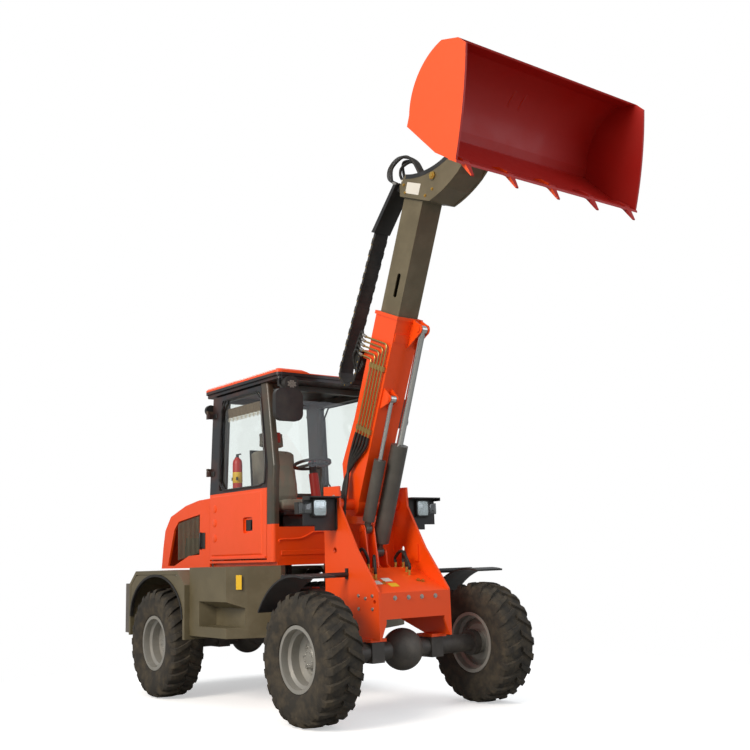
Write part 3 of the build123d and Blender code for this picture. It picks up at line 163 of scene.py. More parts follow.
def lights_and_floor():
    """Soft studio light, a white backdrop for the camera, and a pale floor that keeps the shadow."""
    scene = bpy.context.scene
    scene.view_settings.view_transform = "Standard"
    world = blank(bpy.data.worlds.new("studio"))
    scene.world = world
    path = add(world, "LightPath")
    soft = add(world, "Background", {"Color": linear("#eef2f6"), "Strength": 0.62})
    white = add(world, "Background", {"Color": (1, 1, 1, 1), "Strength": 1.0})
    seen = add(world, "Math", {"operation": "MAXIMUM"},
               {0: (path, "Is Camera Ray"), 1: (path, "Is Transmission Ray")})
    mix = add(world, "MixShader", None, {0: (seen, 0), 1: (soft, 0), 2: (white, 0)})
    add(world, "OutputWorld", None, {"Surface": (mix, 0)})
    for name, spot, size, power, tint in LAMPS:
        data = bpy.data.lights.new(name, "AREA")
        data.size = size
        data.energy = power
        data.color = linear(tint)[:3]
        lamp = bpy.data.objects.new(name, data)
        lamp.location = spot
        lamp.rotation_euler = (LAMPS_AIM - Vector(spot)).to_track_quat("-Z", "Y").to_euler()
        scene.collection.objects.link(lamp)
    mesh = bpy.data.meshes.new("floor")
    shape = bmesh.new()
    bmesh.ops.create_grid(shape, x_segments=8, y_segments=8, size=FLOOR_SIZE)
    shape.to_mesh(mesh)
    floor = bpy.data.objects.new("floor", mesh)
    scene.collection.objects.link(floor)
    material = blank(bpy.data.materials.new("pale_studio_floor"))
    path = add(material, "LightPath")
    place = add(material, "NewGeometry")
    plain = add(material, "BsdfDiffuse", {"Color": linear("#f4f4f3")})
    bounce = add(material, "BsdfDiffuse", {"Color": linear("#a9a8a4")})
    glow = add(material, "Emission", {"Color": (1, 1, 1, 1), "Strength": 0.46})
    lit = add(material, "AddShader", None, {0: (plain, 0), 1: (glow, 0)})
    plain_white = add(material, "Emission", {"Color": (1, 1, 1, 1), "Strength": 1.0})
    away = add(material, "VectorMath", {"operation": "LENGTH"}, {0: (place, "Position")})
    fade = add(material, "MapRange", {"From Min": FLOOR_FADE[0], "From Max": FLOOR_FADE[1]},
               {"Value": (away, "Value")})
    shown = add(material, "MixShader", None, {0: (fade, 0), 1: (lit, 0), 2: (plain_white, 0)})
    mixed = add(material, "MixShader", None,
                {0: (path, "Is Camera Ray"), 1: (bounce, 0), 2: (shown, 0)})
    finish(material, mixed)
    floor.data.materials.append(material)


place_camera()
lights_and_floor()

# ---------------- finishes
# sprayed enamel on sheet steel: even orange-red, soft gloss, a light film of dust
ORANGE = "#f54e06"
orange = coated("orange_enamel", ORANGE, 0.4, dust="#c4603a", dust_amount=0.06, patch_mm=260,
                grain_mm=6, grain_depth=0.05, coat=0.04)
# sprayed enamel on plate: warm grey-brown, satin, with pale road dust in soft patches
taupe = coated("grey_brown_enamel", "#5f563f", 0.42, dust="#91866d", dust_amount=0.26, grain_mm=5,
               grain_depth=0.06)
# enamel on fine wire mesh: the same grey-brown, duller because dust lodges in it
grille_paint = coated("grille_enamel", "#5f5846", 0.55, dust="#8b8069", dust_amount=0.3)
# brushed enamel on brackets: near black with a low gloss
black = coated("black_enamel", "#1a1a1b", 0.38, dust="#6a655e", dust_amount=0.2)
# enamel on the chassis: dark grey under the thickest dust
chassis_paint = coated("dark_grey_enamel", "#45413d", 0.5, dust="#8b8275", dust_amount=0.4)
# enamel on drawn tube: smooth dark grey that shows a soft highlight along the barrel
cylinder_paint = coated("cylinder_enamel", "#4c4a45", 0.36, dust="#8a857a", dust_amount=0.2)
# painted sand casting: rough grain that breaks up the light
iron = coated("painted_cast_iron", "#5f5852", 0.55, dust="#9a9184", dust_amount=0.35, grain_mm=3, grain_depth=0.3)
# aluminium-pigment enamel on pressed steel: pale grey with a faint metallic lift
silver = coated("silver_enamel", "#9c9a94", 0.4, metal=0.35, dust="#857b69", dust_amount=0.35)
# moulded tyre rubber: dark, dull, with brown soil on its faces
rubber = coated("tyre_rubber", "#2e2a24", 0.85, dust="#6f624e", dust_amount=0.5, patch_mm=90, grain_mm=2,
                grain_depth=0.15)
# hard chrome on ground steel: clear bright reflections
chrome = coated("chromed_steel", "#c9cac9", 0.16, metal=1.0, dust="#a09a90", dust_amount=0.08)
# yellow passivated zinc on steel pipe: straw colour, slightly blurred reflections
zinc = coated("yellow_zinc_plating", "#b79a5c", 0.32, metal=0.9, dust="#8b7e66", dust_amount=0.25, patch_mm=60)
# injection-moulded plastic with a fine spark-eroded grain: black, even sheen
plastic = coated("black_moulded_plastic", "#1d1d1e", 0.5, dust="#716a60", dust_amount=0.22, grain_mm=1.5,
                 grain_depth=0.08)
# woven polyester seat cloth: mid grey with no shine; the weave is drawn at 3 mm so that it shows
cloth = coated("woven_seat_cloth", "#8d867a", 0.9, dust="#a59c8d", dust_amount=0.2, grain_mm=3, grain_depth=0.4)


def clear(name, tint, rough, density):
    """Thin pane or lens: tinted, mostly clear, with a faint mirror of the surroundings."""
    material = blank(bpy.data.materials.new(name))
    gloss = add(material, "BsdfGlossy", {"Color": (1, 1, 1, 1), "Roughness": rough})
    through = add(material, "BsdfTransparent", {"Color": linear(tint)})
    face = add(material, "Fresnel", {"IOR": 1.45})
    side = add(material, "NewGeometry")
    front = add(material, "Math", {"operation": "SUBTRACT", 0: 1.0}, {1: (side, "Backfacing")})
    outer = add(material, "Math", {"operation": "MULTIPLY"}, {0: (face, 0), 1: (front, 0)})
    amount = add(material, "Math", {"operation": "ADD", 1: density, "use_clamp": True},
                 {0: (outer, 0)})
    mixed = add(material, "MixShader", None, {0: (amount, 0), 1: (through, 0), 2: (gloss, 0)})
    return finish(material, mixed)


# tempered safety glass: clear, with a faint cool cast and sharp reflections
glass = clear("clear_safety_glass", "#f9fbfa", 0.04, 0.0)
# moulded acrylic lens: clear, a little milky over its bowl
lamp_glass = clear("clear_lamp_lens", "#f4f6f6", 0.03, 0.06)
# extruded hose rubber: black with a soft sheen
bare_black = coated("hose_rubber", "#141312", 0.55, dust="#5f584c", dust_amount=0.25, patch_mm=40)
# thick yellow passivate on turned steel: deeper gold than the pipes
gold = coated("gold_passivated_zinc", "#c9a24e", 0.3, metal=0.9, dust="#8b7e66", dust_amount=0.15, patch_mm=40)
# clear passivated zinc on turned steel: pale grey, lightly blurred
bright = coated("bright_zinc_plating", "#b9b7b0", 0.3, metal=0.9, dust="#8f897c", dust_amount=0.2, patch_mm=40)
# silvered glass: a true mirror
mirror_face = coated("silvered_glass", "#d8dcdc", 0.05, metal=1.0, dust_amount=0.02)
# vinyl film: flat even colour, blank
yellow = coated("yellow_label_film", "#e8b81c", 0.45, dust_amount=0.08)
pale = coated("pale_label_film", "#d9d6cc", 0.45, dust_amount=0.1)
# stoved enamel on a steel bottle: bright clean red
red = coated("red_enamel", "#c01d12", 0.35, dust_amount=0.05)
# knotted cotton yarn: off-white and matt
lace = coated("white_lace_yarn", "#c9c2b4", 0.9, dust_amount=0.1, patch_mm=60)
# plain woven curtain cloth: brown and matt; threads drawn at 2 mm so that they show
blind_cloth = coated("brown_blind_cloth", "#6b5a46", 0.92, dust_amount=0.1, grain_mm=2, grain_depth=0.3)


def two_tone(name, upper, lower, height_mm, like):
    """Enamel of one colour below a level line and another above it."""
    material = coated(name, upper, **like)
    base = next(n for n in material.node_tree.nodes if n.bl_idname == "ShaderNodeMix")
    coords = add(material, "TexCoord")
    split = add(material, "SeparateXYZ", None, {0: (coords, "Object")})
    above = add(material, "Math", {"operation": "GREATER_THAN", 1: (height_mm + LIFT) * MM},
                {0: (split, 2)})
    tone = add(material, "Mix", {"data_type": "RGBA", 6: linear(lower), 7: linear(upper)}, {0: (above, 0)})
    material.node_tree.links.new(tone.outputs[2], base.inputs[6])
    return material


# cab enamels, masked and sprayed in two colours: a crisp level edge between orange and dark
CAB_BLACK = "#17171a"
POST_BROWN = "#3d3a2f"
DOOR_EDGE, ROOF_EDGE, POST_EDGE = 1814, 2806, 1500  # heights at which the colour changes
cab_coat = dict(rough=0.36, dust="#c4704a", dust_amount=0.12, patch_mm=260, grain_mm=6, grain_depth=0.05, coat=0.1)
door_paint = two_tone("door_enamel", CAB_BLACK, ORANGE, DOOR_EDGE, cab_coat)
roof_paint = two_tone("roof_enamel", ORANGE, CAB_BLACK, ROOF_EDGE, cab_coat)
frame_paint = two_tone("cab_frame_enamel", POST_BROWN, ORANGE, POST_EDGE, cab_coat)
# painted shade: the dark red laid over the inside of the bucket's bowl
BUCKET_SHADE = "#b01205"
BOWL_FLOOR_RISE = 60 * MM  # the floor plate is shaded up to this far above the heel


def bucket_finish():
    """Bucket enamel: bright outside, with painted shade in dark red over the faces inside the bowl."""
    material = coated("bucket_enamel", ORANGE, 0.5, dust="#b04a26", dust_amount=0.04, patch_mm=260, grain_mm=6,
                      grain_depth=0.05, coat=0.04)
    base = next(n for n in material.node_tree.nodes if n.bl_idname == "ShaderNodeMix")
    coords = add(material, "TexCoord")
    # faces of the back that look out of the bowl
    inward = add(material, "VectorMath",
                 {"operation": "DOT_PRODUCT", 1: (cos(BUCKET_DUMP), 0, -sin(BUCKET_DUMP))},
                 {0: (coords, "Normal")})
    floor_side = add(material, "Math", {"operation": "GREATER_THAN", 1: 0.15}, {0: (inward, "Value")})
    # cheeks, where they face the middle
    turn = add(material, "SeparateXYZ", None, {0: (coords, "Normal")})
    spot = add(material, "SeparateXYZ", None, {0: (coords, "Object")})
    cheek = add(material, "Math", {"operation": "MULTIPLY"}, {0: (turn, 1), 1: (spot, 1)})
    cheek_side = add(material, "Math", {"operation": "LESS_THAN", 1: -0.3}, {0: (cheek, 0)})
    # the floor plate's upper side, just above the line of the heel
    up = (sin(BUCKET_DUMP), 0, cos(BUCKET_DUMP))
    heel = Vector(at(BUCKET_HEEL[0], 0, BUCKET_HEEL[1])).dot(Vector(up))
    upward = add(material, "VectorMath", {"operation": "DOT_PRODUCT", 1: up}, {0: (coords, "Normal")})
    height = add(material, "VectorMath", {"operation": "DOT_PRODUCT", 1: up}, {0: (coords, "Object")})
    facing = add(material, "Math", {"operation": "GREATER_THAN", 1: 0.5}, {0: (upward, "Value")})
    low = add(material, "Math", {"operation": "LESS_THAN", 1: heel + BOWL_FLOOR_RISE},
              {0: (height, "Value")})
    bottom = add(material, "Math", {"operation": "MULTIPLY"}, {0: (facing, 0), 1: (low, 0)})
    bowl = add(material, "Math", {"operation": "MAXIMUM"}, {0: (floor_side, 0), 1: (bottom, 0)})
    inside = add(material, "Math", {"operation": "MAXIMUM"}, {0: (bowl, 0), 1: (cheek_side, 0)})
    # painted shade: the inner back, cheeks and floor of the bowl take the darker red
    tone = add(material, "Mix", {"data_type": "RGBA", 6: linear(ORANGE), 7: linear(BUCKET_SHADE)},
               {0: (inside, 0)})
    material.node_tree.links.new(tone.outputs[2], base.inputs[6])
    return material


bucket_paint = bucket_finish()

WHEELS = [(axle + "_" + hand, x, sign) for axle, x in (("front", WHEEL_X), ("rear", -WHEEL_X))
          for hand, sign in (("left", 1), ("right", -1))]
NODE_FINISH = (
    (orange, ["cab_lower_panels", "engine_hood", "front_frame", "outer_boom"]), (bucket_paint, ["bucket"]),
    (door_paint, ["door_right", "door_left"]), (roof_paint, ["cab_roof"]), (frame_paint, ["cab_frame"]),
    (taupe, ["side_bodies", "inner_boom", "boom_head"]), (grille_paint, ["hood_grilles"]), (black, ["hose_guide"]),
    (chassis_paint, ["rear_chassis", "rear_axle", "front_axle", "tilt_lever", "tilt_link"]),
    (cylinder_paint, ["lift_barrel", "comp_barrel", "steer_barrel"]), (chrome, ["lift_rod", "comp_rod", "steer_rod"]),
    (iron, ["counterweight", "engine"]), (zinc, ["boom_pipes"]), (cloth, ["seat"]),
    (plastic, ["cab_controls", "mirrors_and_lamps", "front_fenders", "headlamps", "energy_chain"]),
    (glass, ["cab_glass", "door_right_glass", "door_left_glass"]),
    (silver, ["rim_" + wheel for wheel, _, _ in WHEELS]), (rubber, ["tyre_" + wheel for wheel, _, _ in WHEELS]),
)
for material, names in NODE_FINISH:
    for name in names:
        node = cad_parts[name]
        node.data.materials.clear()
        node.data.materials.append(material)


# ---------------- making pieces
def new_piece(name, shape, body, material, smooth=True):
    """Object of the shape's mesh that rides on a body; its edges over 35 degrees stay sharp."""
    mesh = bpy.data.meshes.new(name)
    bmesh.ops.recalc_face_normals(shape, faces=shape.faces)
    shape.to_mesh(mesh)
    shape.free()
    if smooth:
        mesh.polygons.foreach_set("use_smooth", [True] * len(mesh.polygons))
        mesh.set_sharp_from_angle(angle=radians(35))
    mesh.materials.append(material)
    thing = bpy.data.objects.new(name, mesh)
    bpy.context.scene.collection.objects.link(thing)
    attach(thing, body)
    return thing


def angles(count):
    """Angles of count even steps round a circle."""
    return [2 * pi * k / count for k in range(count)]


def loft(shape, rings, close_ring=True, caps=False):
    """Skins a row of rings of points; every ring has the same number of points."""
    rows = [[shape.verts.new(p) for p in ring] for ring in rings]
    count = len(rows[0])
    for a, b in zip(rows, rows[1:]):
        for i in range(count if close_ring else count - 1):
            j = (i + 1) % count
            shape.faces.new((a[i], a[j], b[j], b[i]))
    if caps:
        shape.faces.new(rows[0])
        shape.faces.new(rows[-1])
    return rows


# ---------------- tyres with their tread
def hub_at(cx, y, r, a):
    """Point beside a wheel at radius r and angle a about its axle."""
    return at(cx + r * cos(a), y, HUB_Z + r * sin(a))


CARCASS = [(229, 120), (250, 128), (256, 139), (300, 154), (352, 159), (400, 158), (436, 152), (456, 139),
           (466, 108), (469, 60), (470, 0)]  # radius and half width
LUGS = 23
# along a lug: radius at its foot and top, distance from the middle, lead in degrees, half thickness
LUG = [(470, TYRE_R, 0, 10.5, 15), (470, TYRE_R, -38, 7.5, 17), (468, 491, -78, 5.0, 19), (464, 489, -112, 3.2, 22),
       (452, 478, -138, 1.4, 26), (430, 452, -154, 0.0, 26), (404, 412, -160, -0.6, 22)]
TYRE_STEPS = 96


def tyre(wheel, cx, sign):
    """Carcass turned about the hub, with chevron lugs over its tread and shoulders."""
    shape = bmesh.new()
    profile = CARCASS + [(r, -y) for r, y in reversed(CARCASS[:-1])]
    rings = [[hub_at(cx, sign * WHEEL_Y + y, r, a) for r, y in profile] for a in angles(TYRE_STEPS)]
    loft(shape, rings + rings[:1])
    bmesh.ops.remove_doubles(shape, verts=shape.verts, dist=0.0001)
    for k in range(LUGS):
        for mirror in (1, -1):
            turn = 2 * pi * (k + (0.5 if mirror < 0 else 0)) / LUGS
            rows = []
            for low, high, y, lead, half in LUG:
                mid = turn + radians(lead)
                out = half / high
                wide = (half + 5) / low
                top = high if high == TYRE_R else high - 2
                pts = [(low - 6, mid - wide), (top, mid - out), (top, mid + out), (low - 6, mid + wide)]
                rows.append([hub_at(cx, sign * WHEEL_Y + mirror * -y, r, a) for r, a in pts])
            loft(shape, rows, caps=True)
    thing = new_piece("tyre_with_tread_" + wheel, shape, "wheel_" + wheel, rubber)
    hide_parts("tyre_" + wheel)


for wheel, place, sign in WHEELS:
    tyre(wheel, place, sign)


# ---------------- tools for trim
def spread(points, per=6):
    """Smooth run of points through the given ones."""
    points = [Vector(p) for p in points]
    ends = [points[0] * 2 - points[1]] + points + [points[-1] * 2 - points[-2]]
    run = []
    for a, b, c, d in zip(ends, ends[1:], ends[2:], ends[3:]):
        for k in range(per):
            t = k / per
            run.append(0.5 * ((2 * b) + (c - a) * t + (2 * a - 5 * b + 4 * c - d) * t * t
                              + (3 * b - a - 3 * c + d) * t * t * t))
    run.append(points[-1])
    return run


def put_tube(shape, points, r, sides=10, ribs=0.0):
    """Round tube along points; ribs swells every other ring."""
    ahead = (points[1] - points[0]).normalized()
    out = ahead.orthogonal().normalized()
    rings = []
    for i, p in enumerate(points):
        a = points[max(i - 1, 0)]
        b = points[min(i + 1, len(points) - 1)]
        now = (b - a).normalized()
        out = (out - now * out.dot(now)).normalized()
        other = now.cross(out)
        wide = r * (1 + (ribs if i % 2 else 0))
        rings.append([p + (out * cos(t) + other * sin(t)) * wide
                      for t in angles(sides)])
    loft(shape, rings, caps=True)


def put_rod(shape, a, b, r, sides=16, bevel=0.12):
    """Bar or hexagon between two points, its ends chamfered."""
    a, b = Vector(a), Vector(b)
    length = (b - a).length
    cut = min(r * bevel, length * 0.3)
    step = (b - a).normalized()
    out = step.orthogonal().normalized()
    other = step.cross(out)
    rings = []
    for p, wide in ((a, r - cut), (a + step * cut, r), (b - step * cut, r), (b, r - cut)):
        rings.append([p + (out * cos(t) + other * sin(t)) * wide
                      for t in angles(sides)])
    loft(shape, rings, caps=True)


def put_box(shape, centre, size_mm, axes, bevel_mm=2):
    """Chamfered box; size along its own three axes."""
    hx, hy, hz = (v * MM / 2 for v in size_mm)
    cut = min(bevel_mm * MM, hx, hy, hz) * 0.9
    centre = Vector(centre)
    rings = []
    for z, inset in ((-hz, cut), (-hz + cut, 0), (hz - cut, 0), (hz, cut)):
        x, y = hx - inset, hy - inset
        corners = [(-x + cut, -y), (x - cut, -y), (x, -y + cut), (x, y - cut), (x - cut, y), (-x + cut, y),
                   (-x, y - cut), (-x, -y + cut)]
        rings.append([centre + axes[0] * u + axes[1] * v + axes[2] * z for u, v in corners])
    loft(shape, rings, caps=True)


def put_bolt(shape, point, out, r_mm=11, tall_mm=8):
    """Washer and hexagon head standing off a face."""
    point, out = Vector(point), Vector(out).normalized()
    put_rod(shape, point, point + out * 2.5 * MM, r_mm * 1.35 * MM, 20)
    put_rod(shape, point + out * 2 * MM, point + out * (2.5 + tall_mm) * MM, r_mm * MM, 6)


def put_union(shape, point, along, r_mm=13):
    """Hose end: collar, hexagon and ferrule in line."""
    point, along = Vector(point), Vector(along).normalized()
    put_rod(shape, point, point + along * 16 * MM, r_mm * MM, 6)
    put_rod(shape, point + along * 14 * MM, point + along * 24 * MM, r_mm * 0.75 * MM, 14)
    put_rod(shape, point + along * 22 * MM, point + along * 48 * MM, r_mm * 0.95 * MM, 14)


UP = Vector((0, 0, 1))
FORE = Vector((1, 0, 0))
SIDE = Vector((0, 1, 0))
SQUARE = (FORE, SIDE, UP)
ALONG = (boom_at(1, 0, 0) - boom_at(0, 0, 0)).normalized()
BACK = (boom_at(0, 1, 0) - boom_at(0, 0, 0)).normalized()

# ---------------- energy chain of the telescope
CHAIN_LOW, CHAIN_HIGH, CHAIN_BEND = 307, 542, 1055  # heights of the two runs, and where they turn
CHAIN_START = 1270  # along the boom
CHAIN_FAR = (2267.5, 441.5)  # far end of the chain, in boom coordinates
CHAIN_PITCH = 50
CHAIN_FACES = (-145, -8)  # middles of the side plates
CHAIN_BAR = (49.5, 132, 4)  # length, width and thickness
CHAIN_MID_Y = -77


def chain_run():
    """Points along the middle of the chain, in boom coordinates, one a pitch apart."""
    radius = (CHAIN_HIGH - CHAIN_LOW) / 2
    middle = (CHAIN_HIGH + CHAIN_LOW) / 2
    far, far_h = CHAIN_FAR
    lower, bend = CHAIN_START - CHAIN_BEND, pi * radius
    upper = hypot(far - CHAIN_BEND, CHAIN_HIGH - far_h)
    count = int((lower + bend + upper) / CHAIN_PITCH)
    run = []
    for k in range(count + 1):
        d = k * (lower + bend + upper) / count
        if d < lower:
            run.append((CHAIN_BEND + lower - d, CHAIN_LOW))
        elif d < lower + bend:
            a = (d - lower) / radius
            run.append((CHAIN_BEND - radius * sin(a), middle - radius * cos(a)))
        else:
            t = (d - lower - bend) / upper
            run.append((CHAIN_BEND + (far - CHAIN_BEND) * t, CHAIN_HIGH + (far_h - CHAIN_HIGH) * t))
    return run


def energy_chain():
    """Links with side plates, cross bars and rivets, bending between the boom and the telescope."""
    links = bmesh.new()
    rivets = bmesh.new()
    run = chain_run()
    for k, (a, b) in enumerate(zip(run, run[1:])):
        low, high = boom_at(a[0], a[1], 0), boom_at(b[0], b[1], 0)
        step = (high - low).normalized()
        across = step.cross(SIDE)
        middle = (low + high) / 2
        shift = 5 if k % 2 else 0
        for y, sense in ((CHAIN_FACES[0] + shift, -1), (CHAIN_FACES[1] - shift, 1)):
            put_box(links, middle + SIDE * y * MM, (CHAIN_PITCH + 6, 8, 29), (step, SIDE, across), 3)
            put_rod(rivets, low + SIDE * (y + sense * 3) * MM, low + SIDE * (y + sense * (7 if shift else 5)) * MM,
                    6 * MM, 12)
        for h in (-12, 12):
            put_box(links, middle + across * h * MM + SIDE * CHAIN_MID_Y * MM, CHAIN_BAR, (step, SIDE, across), 1.5)
    chain = new_piece("energy_chain_links", links, "boom", plastic)
    pins = new_piece("energy_chain_rivets", rivets, "boom", gold)
    for thing in (chain, pins):
        thing.parent = None
        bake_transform(thing)
    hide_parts("energy_chain")


energy_chain()

# ---------------- hoses of the boom and front frame
PIPE_Y = -145  # on the boom's right side, where its pipes run
PIPES = 5  # hydraulic pipes side by side on the boom
DECK_BREAK, DECK_TOP, DECK_FALL = 990, 1100, 0.44
DECK_SLOPE = Vector((0.915, 0, -0.403))  # down the sloping deck
DECK_UP = Vector((0.403, 0, 0.915))


def deck_height(x):
    """Height of the front frame's deck, level as far as the break and sloping down ahead of it."""
    return DECK_TOP - max(0, x - DECK_BREAK) * DECK_FALL


def boom_hose_bends():
    """Hoses that arch from the fittings behind the boom to the tops of its pipes."""
    hoses = bmesh.new()
    ends = bmesh.new()
    for i in range(PIPES):
        top = 1400 - i * 40
        start = boom_at(top, 262, PIPE_Y)
        put_union(ends, start, BACK + ALONG * 0.2, 14)
        put_tube(hoses, spread([start + BACK * 40 * MM, boom_at(top + 30, 335, PIPE_Y - 4 * i),
                                boom_at(top - 40, 362, PIPE_Y - 6 * i + 10), boom_at(top - 150, 330, PIPE_Y + 20),
                                boom_at(1150 - 20 * i, 282, -100 - 8 * i)]), 12 * MM)
    new_piece("boom_hose_bends", hoses, "boom", bare_black)
    new_piece("boom_hose_unions", ends, "boom", bright)


boom_hose_bends()


def boom_to_frame_hoses():
    """Loom from the feet of the pipes down into the front frame, bending over the boom joint."""
    loom = bmesh.new()
    for i in range(PIPES):
        h = -50 + i * 42
        y = PIPE_Y - 5
        put_tube(loom, spread([boom_at(600, h, PIPE_Y), boom_at(500, h + 6, y), boom_at(330, 60 + 14 * i, y - 8),
                               at(735 + 14 * i, -178 - 3 * i, 1830), at(742 + 16 * i, -215 - 5 * i, 1600),
                               at(752 + 18 * i, -225 - 6 * i, 1350), at(770 + 20 * i, -225 - 6 * i, 1125)], 8),
                 13 * MM, 10, 0.06 if i in (1, 3) else 0.0)
    thing = new_piece("boom_to_frame_hoses", loom, "boom", bare_black)
    thing.parent = None
    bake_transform(thing)


boom_to_frame_hoses()


def deck_hoses():
    """Hose loops and nipples on the deck, each side of the cylinders."""
    deck = bmesh.new()
    deck_ends = bmesh.new()
    for x0, y0, x1, y1, rise in ((1000, -150, 930, -215, 170), (1075, 190, 960, 250, 170), (1130, 175, 900, 215, 200),
                                (1070, -145, 1180, -215, 140)):
        z0, z1 = deck_height(x0), deck_height(x1)
        put_union(deck_ends, at(x0, y0, z0), (0, 0, 1), 15)
        put_union(deck_ends, at(x1, y1, z1), (0, 0, 1), 15)
        crest = at((x0 + x1) / 2, (y0 + y1) / 2, z0 + rise)
        put_tube(deck, spread([at(x0, y0, z0 + 40), at(x0, y0, z0 + 90), crest, at(x1, y1, z1 + 90),
                               at(x1, y1, z1 + 40)]), 13 * MM)
    for x, y in ((1235, 180), (1250, 215), (1255, -190)):
        put_bolt(deck_ends, at(x, y, deck_height(x) + 8), (0.4, 0, 0.9), 14, 12)
    new_piece("deck_hoses", deck, "front_unit", bare_black)
    new_piece("deck_unions", deck_ends, "front_unit", gold)


deck_hoses()


def head_hoses():
    """Hoses out of the chain's guide: two loops and three taller arches that turn down into the head."""
    head = bmesh.new()
    head_ends = bmesh.new()
    for y, peak, far in ((-30, (2895, 400), (2780, 60)), (-70, (2850, 350), (2775, 90))):
        start = boom_at(2700, 290, y)
        put_union(head_ends, start, ALONG + BACK * 0.5, 13)
        put_tube(head, spread([start + (ALONG + BACK * 0.5).normalized() * 44 * MM, boom_at(2790, 360, y),
                               boom_at(*peak, y), boom_at(2900, 235, y + 15), boom_at(*far, y + 25)]), 12 * MM)
    for y, lift in ((-95, 470), (-120, 420), (-140, 370)):
        start = boom_at(2690, 290, y)
        put_union(head_ends, start, BACK + ALONG * 0.3, 13)
        put_tube(head, spread([start + (BACK + ALONG * 0.3).normalized() * 44 * MM, boom_at(2735, lift, y),
                               boom_at(2830, lift + 25, y + 4), boom_at(2925, lift - 90, y + 6),
                               boom_at(2905, 150, y + 10), boom_at(2775, -10, y + 16)], 8), 12 * MM)
    for y in (-110, -140, -55):
        put_tube(head, spread([boom_at(2270, 447, y), boom_at(2450, 372, y), boom_at(2660, 292, y),
                               boom_at(2710, 280, y)]), 11 * MM)
    new_piece("head_hoses", head, "telescope", bare_black)
    new_piece("head_unions", head_ends, "telescope", bright)


head_hoses()

# ---------------- bolts, plates and labels
def front_frame_bolts():
    """Bolt heads on the tower plates and the cross plate, and the caps of the boom pin."""
    bolts = bmesh.new()
    for y in (-206, -70, 65, 206):
        put_bolt(bolts, at(1412, y, 879), (1, 0, 0), 14, 9)
    for sign in (1, -1):
        for x, z in ((838, 1660), (838, 1700), (740, 1480), (1330, 900), (1330, 800), (1240, 880), (1150, 900),
                     (1150, 800)):
            put_bolt(bolts, at(x, sign * 365, z), (0, sign, 0), 11, 7)
        x, z = BOOM_PIN
        put_rod(bolts, at(x, sign * 371, z), at(x, sign * 380, z), 52 * MM, 28)
        put_bolt(bolts, at(x, sign * 378, z + 36), (0, sign, 0), 8, 6)
    new_piece("front_frame_bolts", bolts, "front_unit", bright)


front_frame_bolts()

NUTS, NUT_CIRCLE, HUB_CIRCLE = 8, 101, 50  # number of nuts, radii of the two bolt circles


def wheel_nuts(wheel, cx, sign):
    """Nuts, hub screws and valve stem of one wheel."""
    nuts = bmesh.new()
    for a in angles(NUTS):
        put_bolt(nuts, hub_at(cx, sign * (WHEEL_Y - 8), NUT_CIRCLE, a), (0, sign, 0), 12, 12)
        put_bolt(nuts, hub_at(cx, sign * (WHEEL_Y + 30), HUB_CIRCLE, a + pi / NUTS), (0, sign, 0), 5, 5)
    put_rod(nuts, at(cx + 195, sign * (WHEEL_Y + 20), HUB_Z), at(cx + 190, sign * (WHEEL_Y + 62), HUB_Z), 4 * MM, 10)
    new_piece("wheel_nuts_" + wheel, nuts, "wheel_" + wheel, bright)


for wheel, place, sign in WHEELS:
    wheel_nuts(wheel, place, sign)


def label_plates():
    """Blank plates on the deck and on the slanting front faces of the body sides."""
    yellow_plates = bmesh.new()
    pale_plates = bmesh.new()
    for x, y, shape in ((1150, -250, yellow_plates), (1290, -120, yellow_plates), (1200, -120, pale_plates),
                        (1240, -250, pale_plates)):
        put_box(shape, at(x, y, deck_height(x) + 8), (64, 84, 2), (DECK_SLOPE, SIDE, DECK_UP), 0.6)
    new_piece("deck_plates_yellow", yellow_plates, "front_unit", yellow, smooth=False)
    new_piece("deck_plates_pale", pale_plates, "front_unit", pale, smooth=False)
    plates = bmesh.new()
    for sign in (1, -1):
        lean = Vector((-150, sign * 95, 0)).normalized()
        put_box(plates, at(118, sign * 877, 1020), (95, 2.4, 120),
                (Vector((-lean.x, -lean.y, 0)), Vector((lean.y * sign, -lean.x * sign, 0)) * sign, UP), 0.8)
    new_piece("body_front_plates", plates, "rear_frame", yellow, smooth=False)


label_plates()

# rear wheel arches: middle and reach of the rounded mouth, then the walls of the faceted opening, each as a direction
# and a distance from the point at zero height below the rear axle
ARCH_MID = (27 - WHEEL_X, 700)
ARCH_REACH = (555, 384)
ARCH_WALLS = (((1, 0), 582), ((-1, 0), 527), ((0, 1), 1087), ((-0.631, 0.776), 1096), ((0.611, 0.791), 1134))
ARCH_FACE = WHEEL_Y + 127  # inner face of the arch plates
ARCH_STEPS = 40


def rear_arches():
    """A plate with a rounded mouth in each faceted arch, and a rubber lip along it."""
    plates = bmesh.new()
    lips = bmesh.new()
    for sign in (1, -1):
        plate, lip = [], []
        for k in range(ARCH_STEPS + 1):
            a = radians(180 * k / ARCH_STEPS)
            dx, dz = cos(a), sin(a)
            near = 1 / hypot(dx / ARCH_REACH[0], dz / ARCH_REACH[1])
            walls = [(d - n[0] * (ARCH_MID[0] + WHEEL_X) - n[1] * ARCH_MID[1]) / (n[0] * dx + n[1] * dz)
                     for n, d in ARCH_WALLS if n[0] * dx + n[1] * dz > 1e-6]
            wide = max(min(walls), near + 1)
            for ring, corners in ((plate, ((near, 0), (near, 6), (wide, 6), (wide, 0))),
                                  (lip, ((near - 12, -14), (near - 12, 14), (near + 10, 14), (near + 10, -14)))):
                ring.append([at(ARCH_MID[0] + dx * r, sign * ARCH_FACE + sign * depth, ARCH_MID[1] + dz * r)
                             for r, depth in corners])
        loft(plates, plate, caps=True)
        loft(lips, lip, caps=True)
    new_piece("rear_arch_plates", plates, "rear_frame", taupe, smooth=False)
    new_piece("rear_arch_lips", lips, "rear_frame", bare_black)


rear_arches()

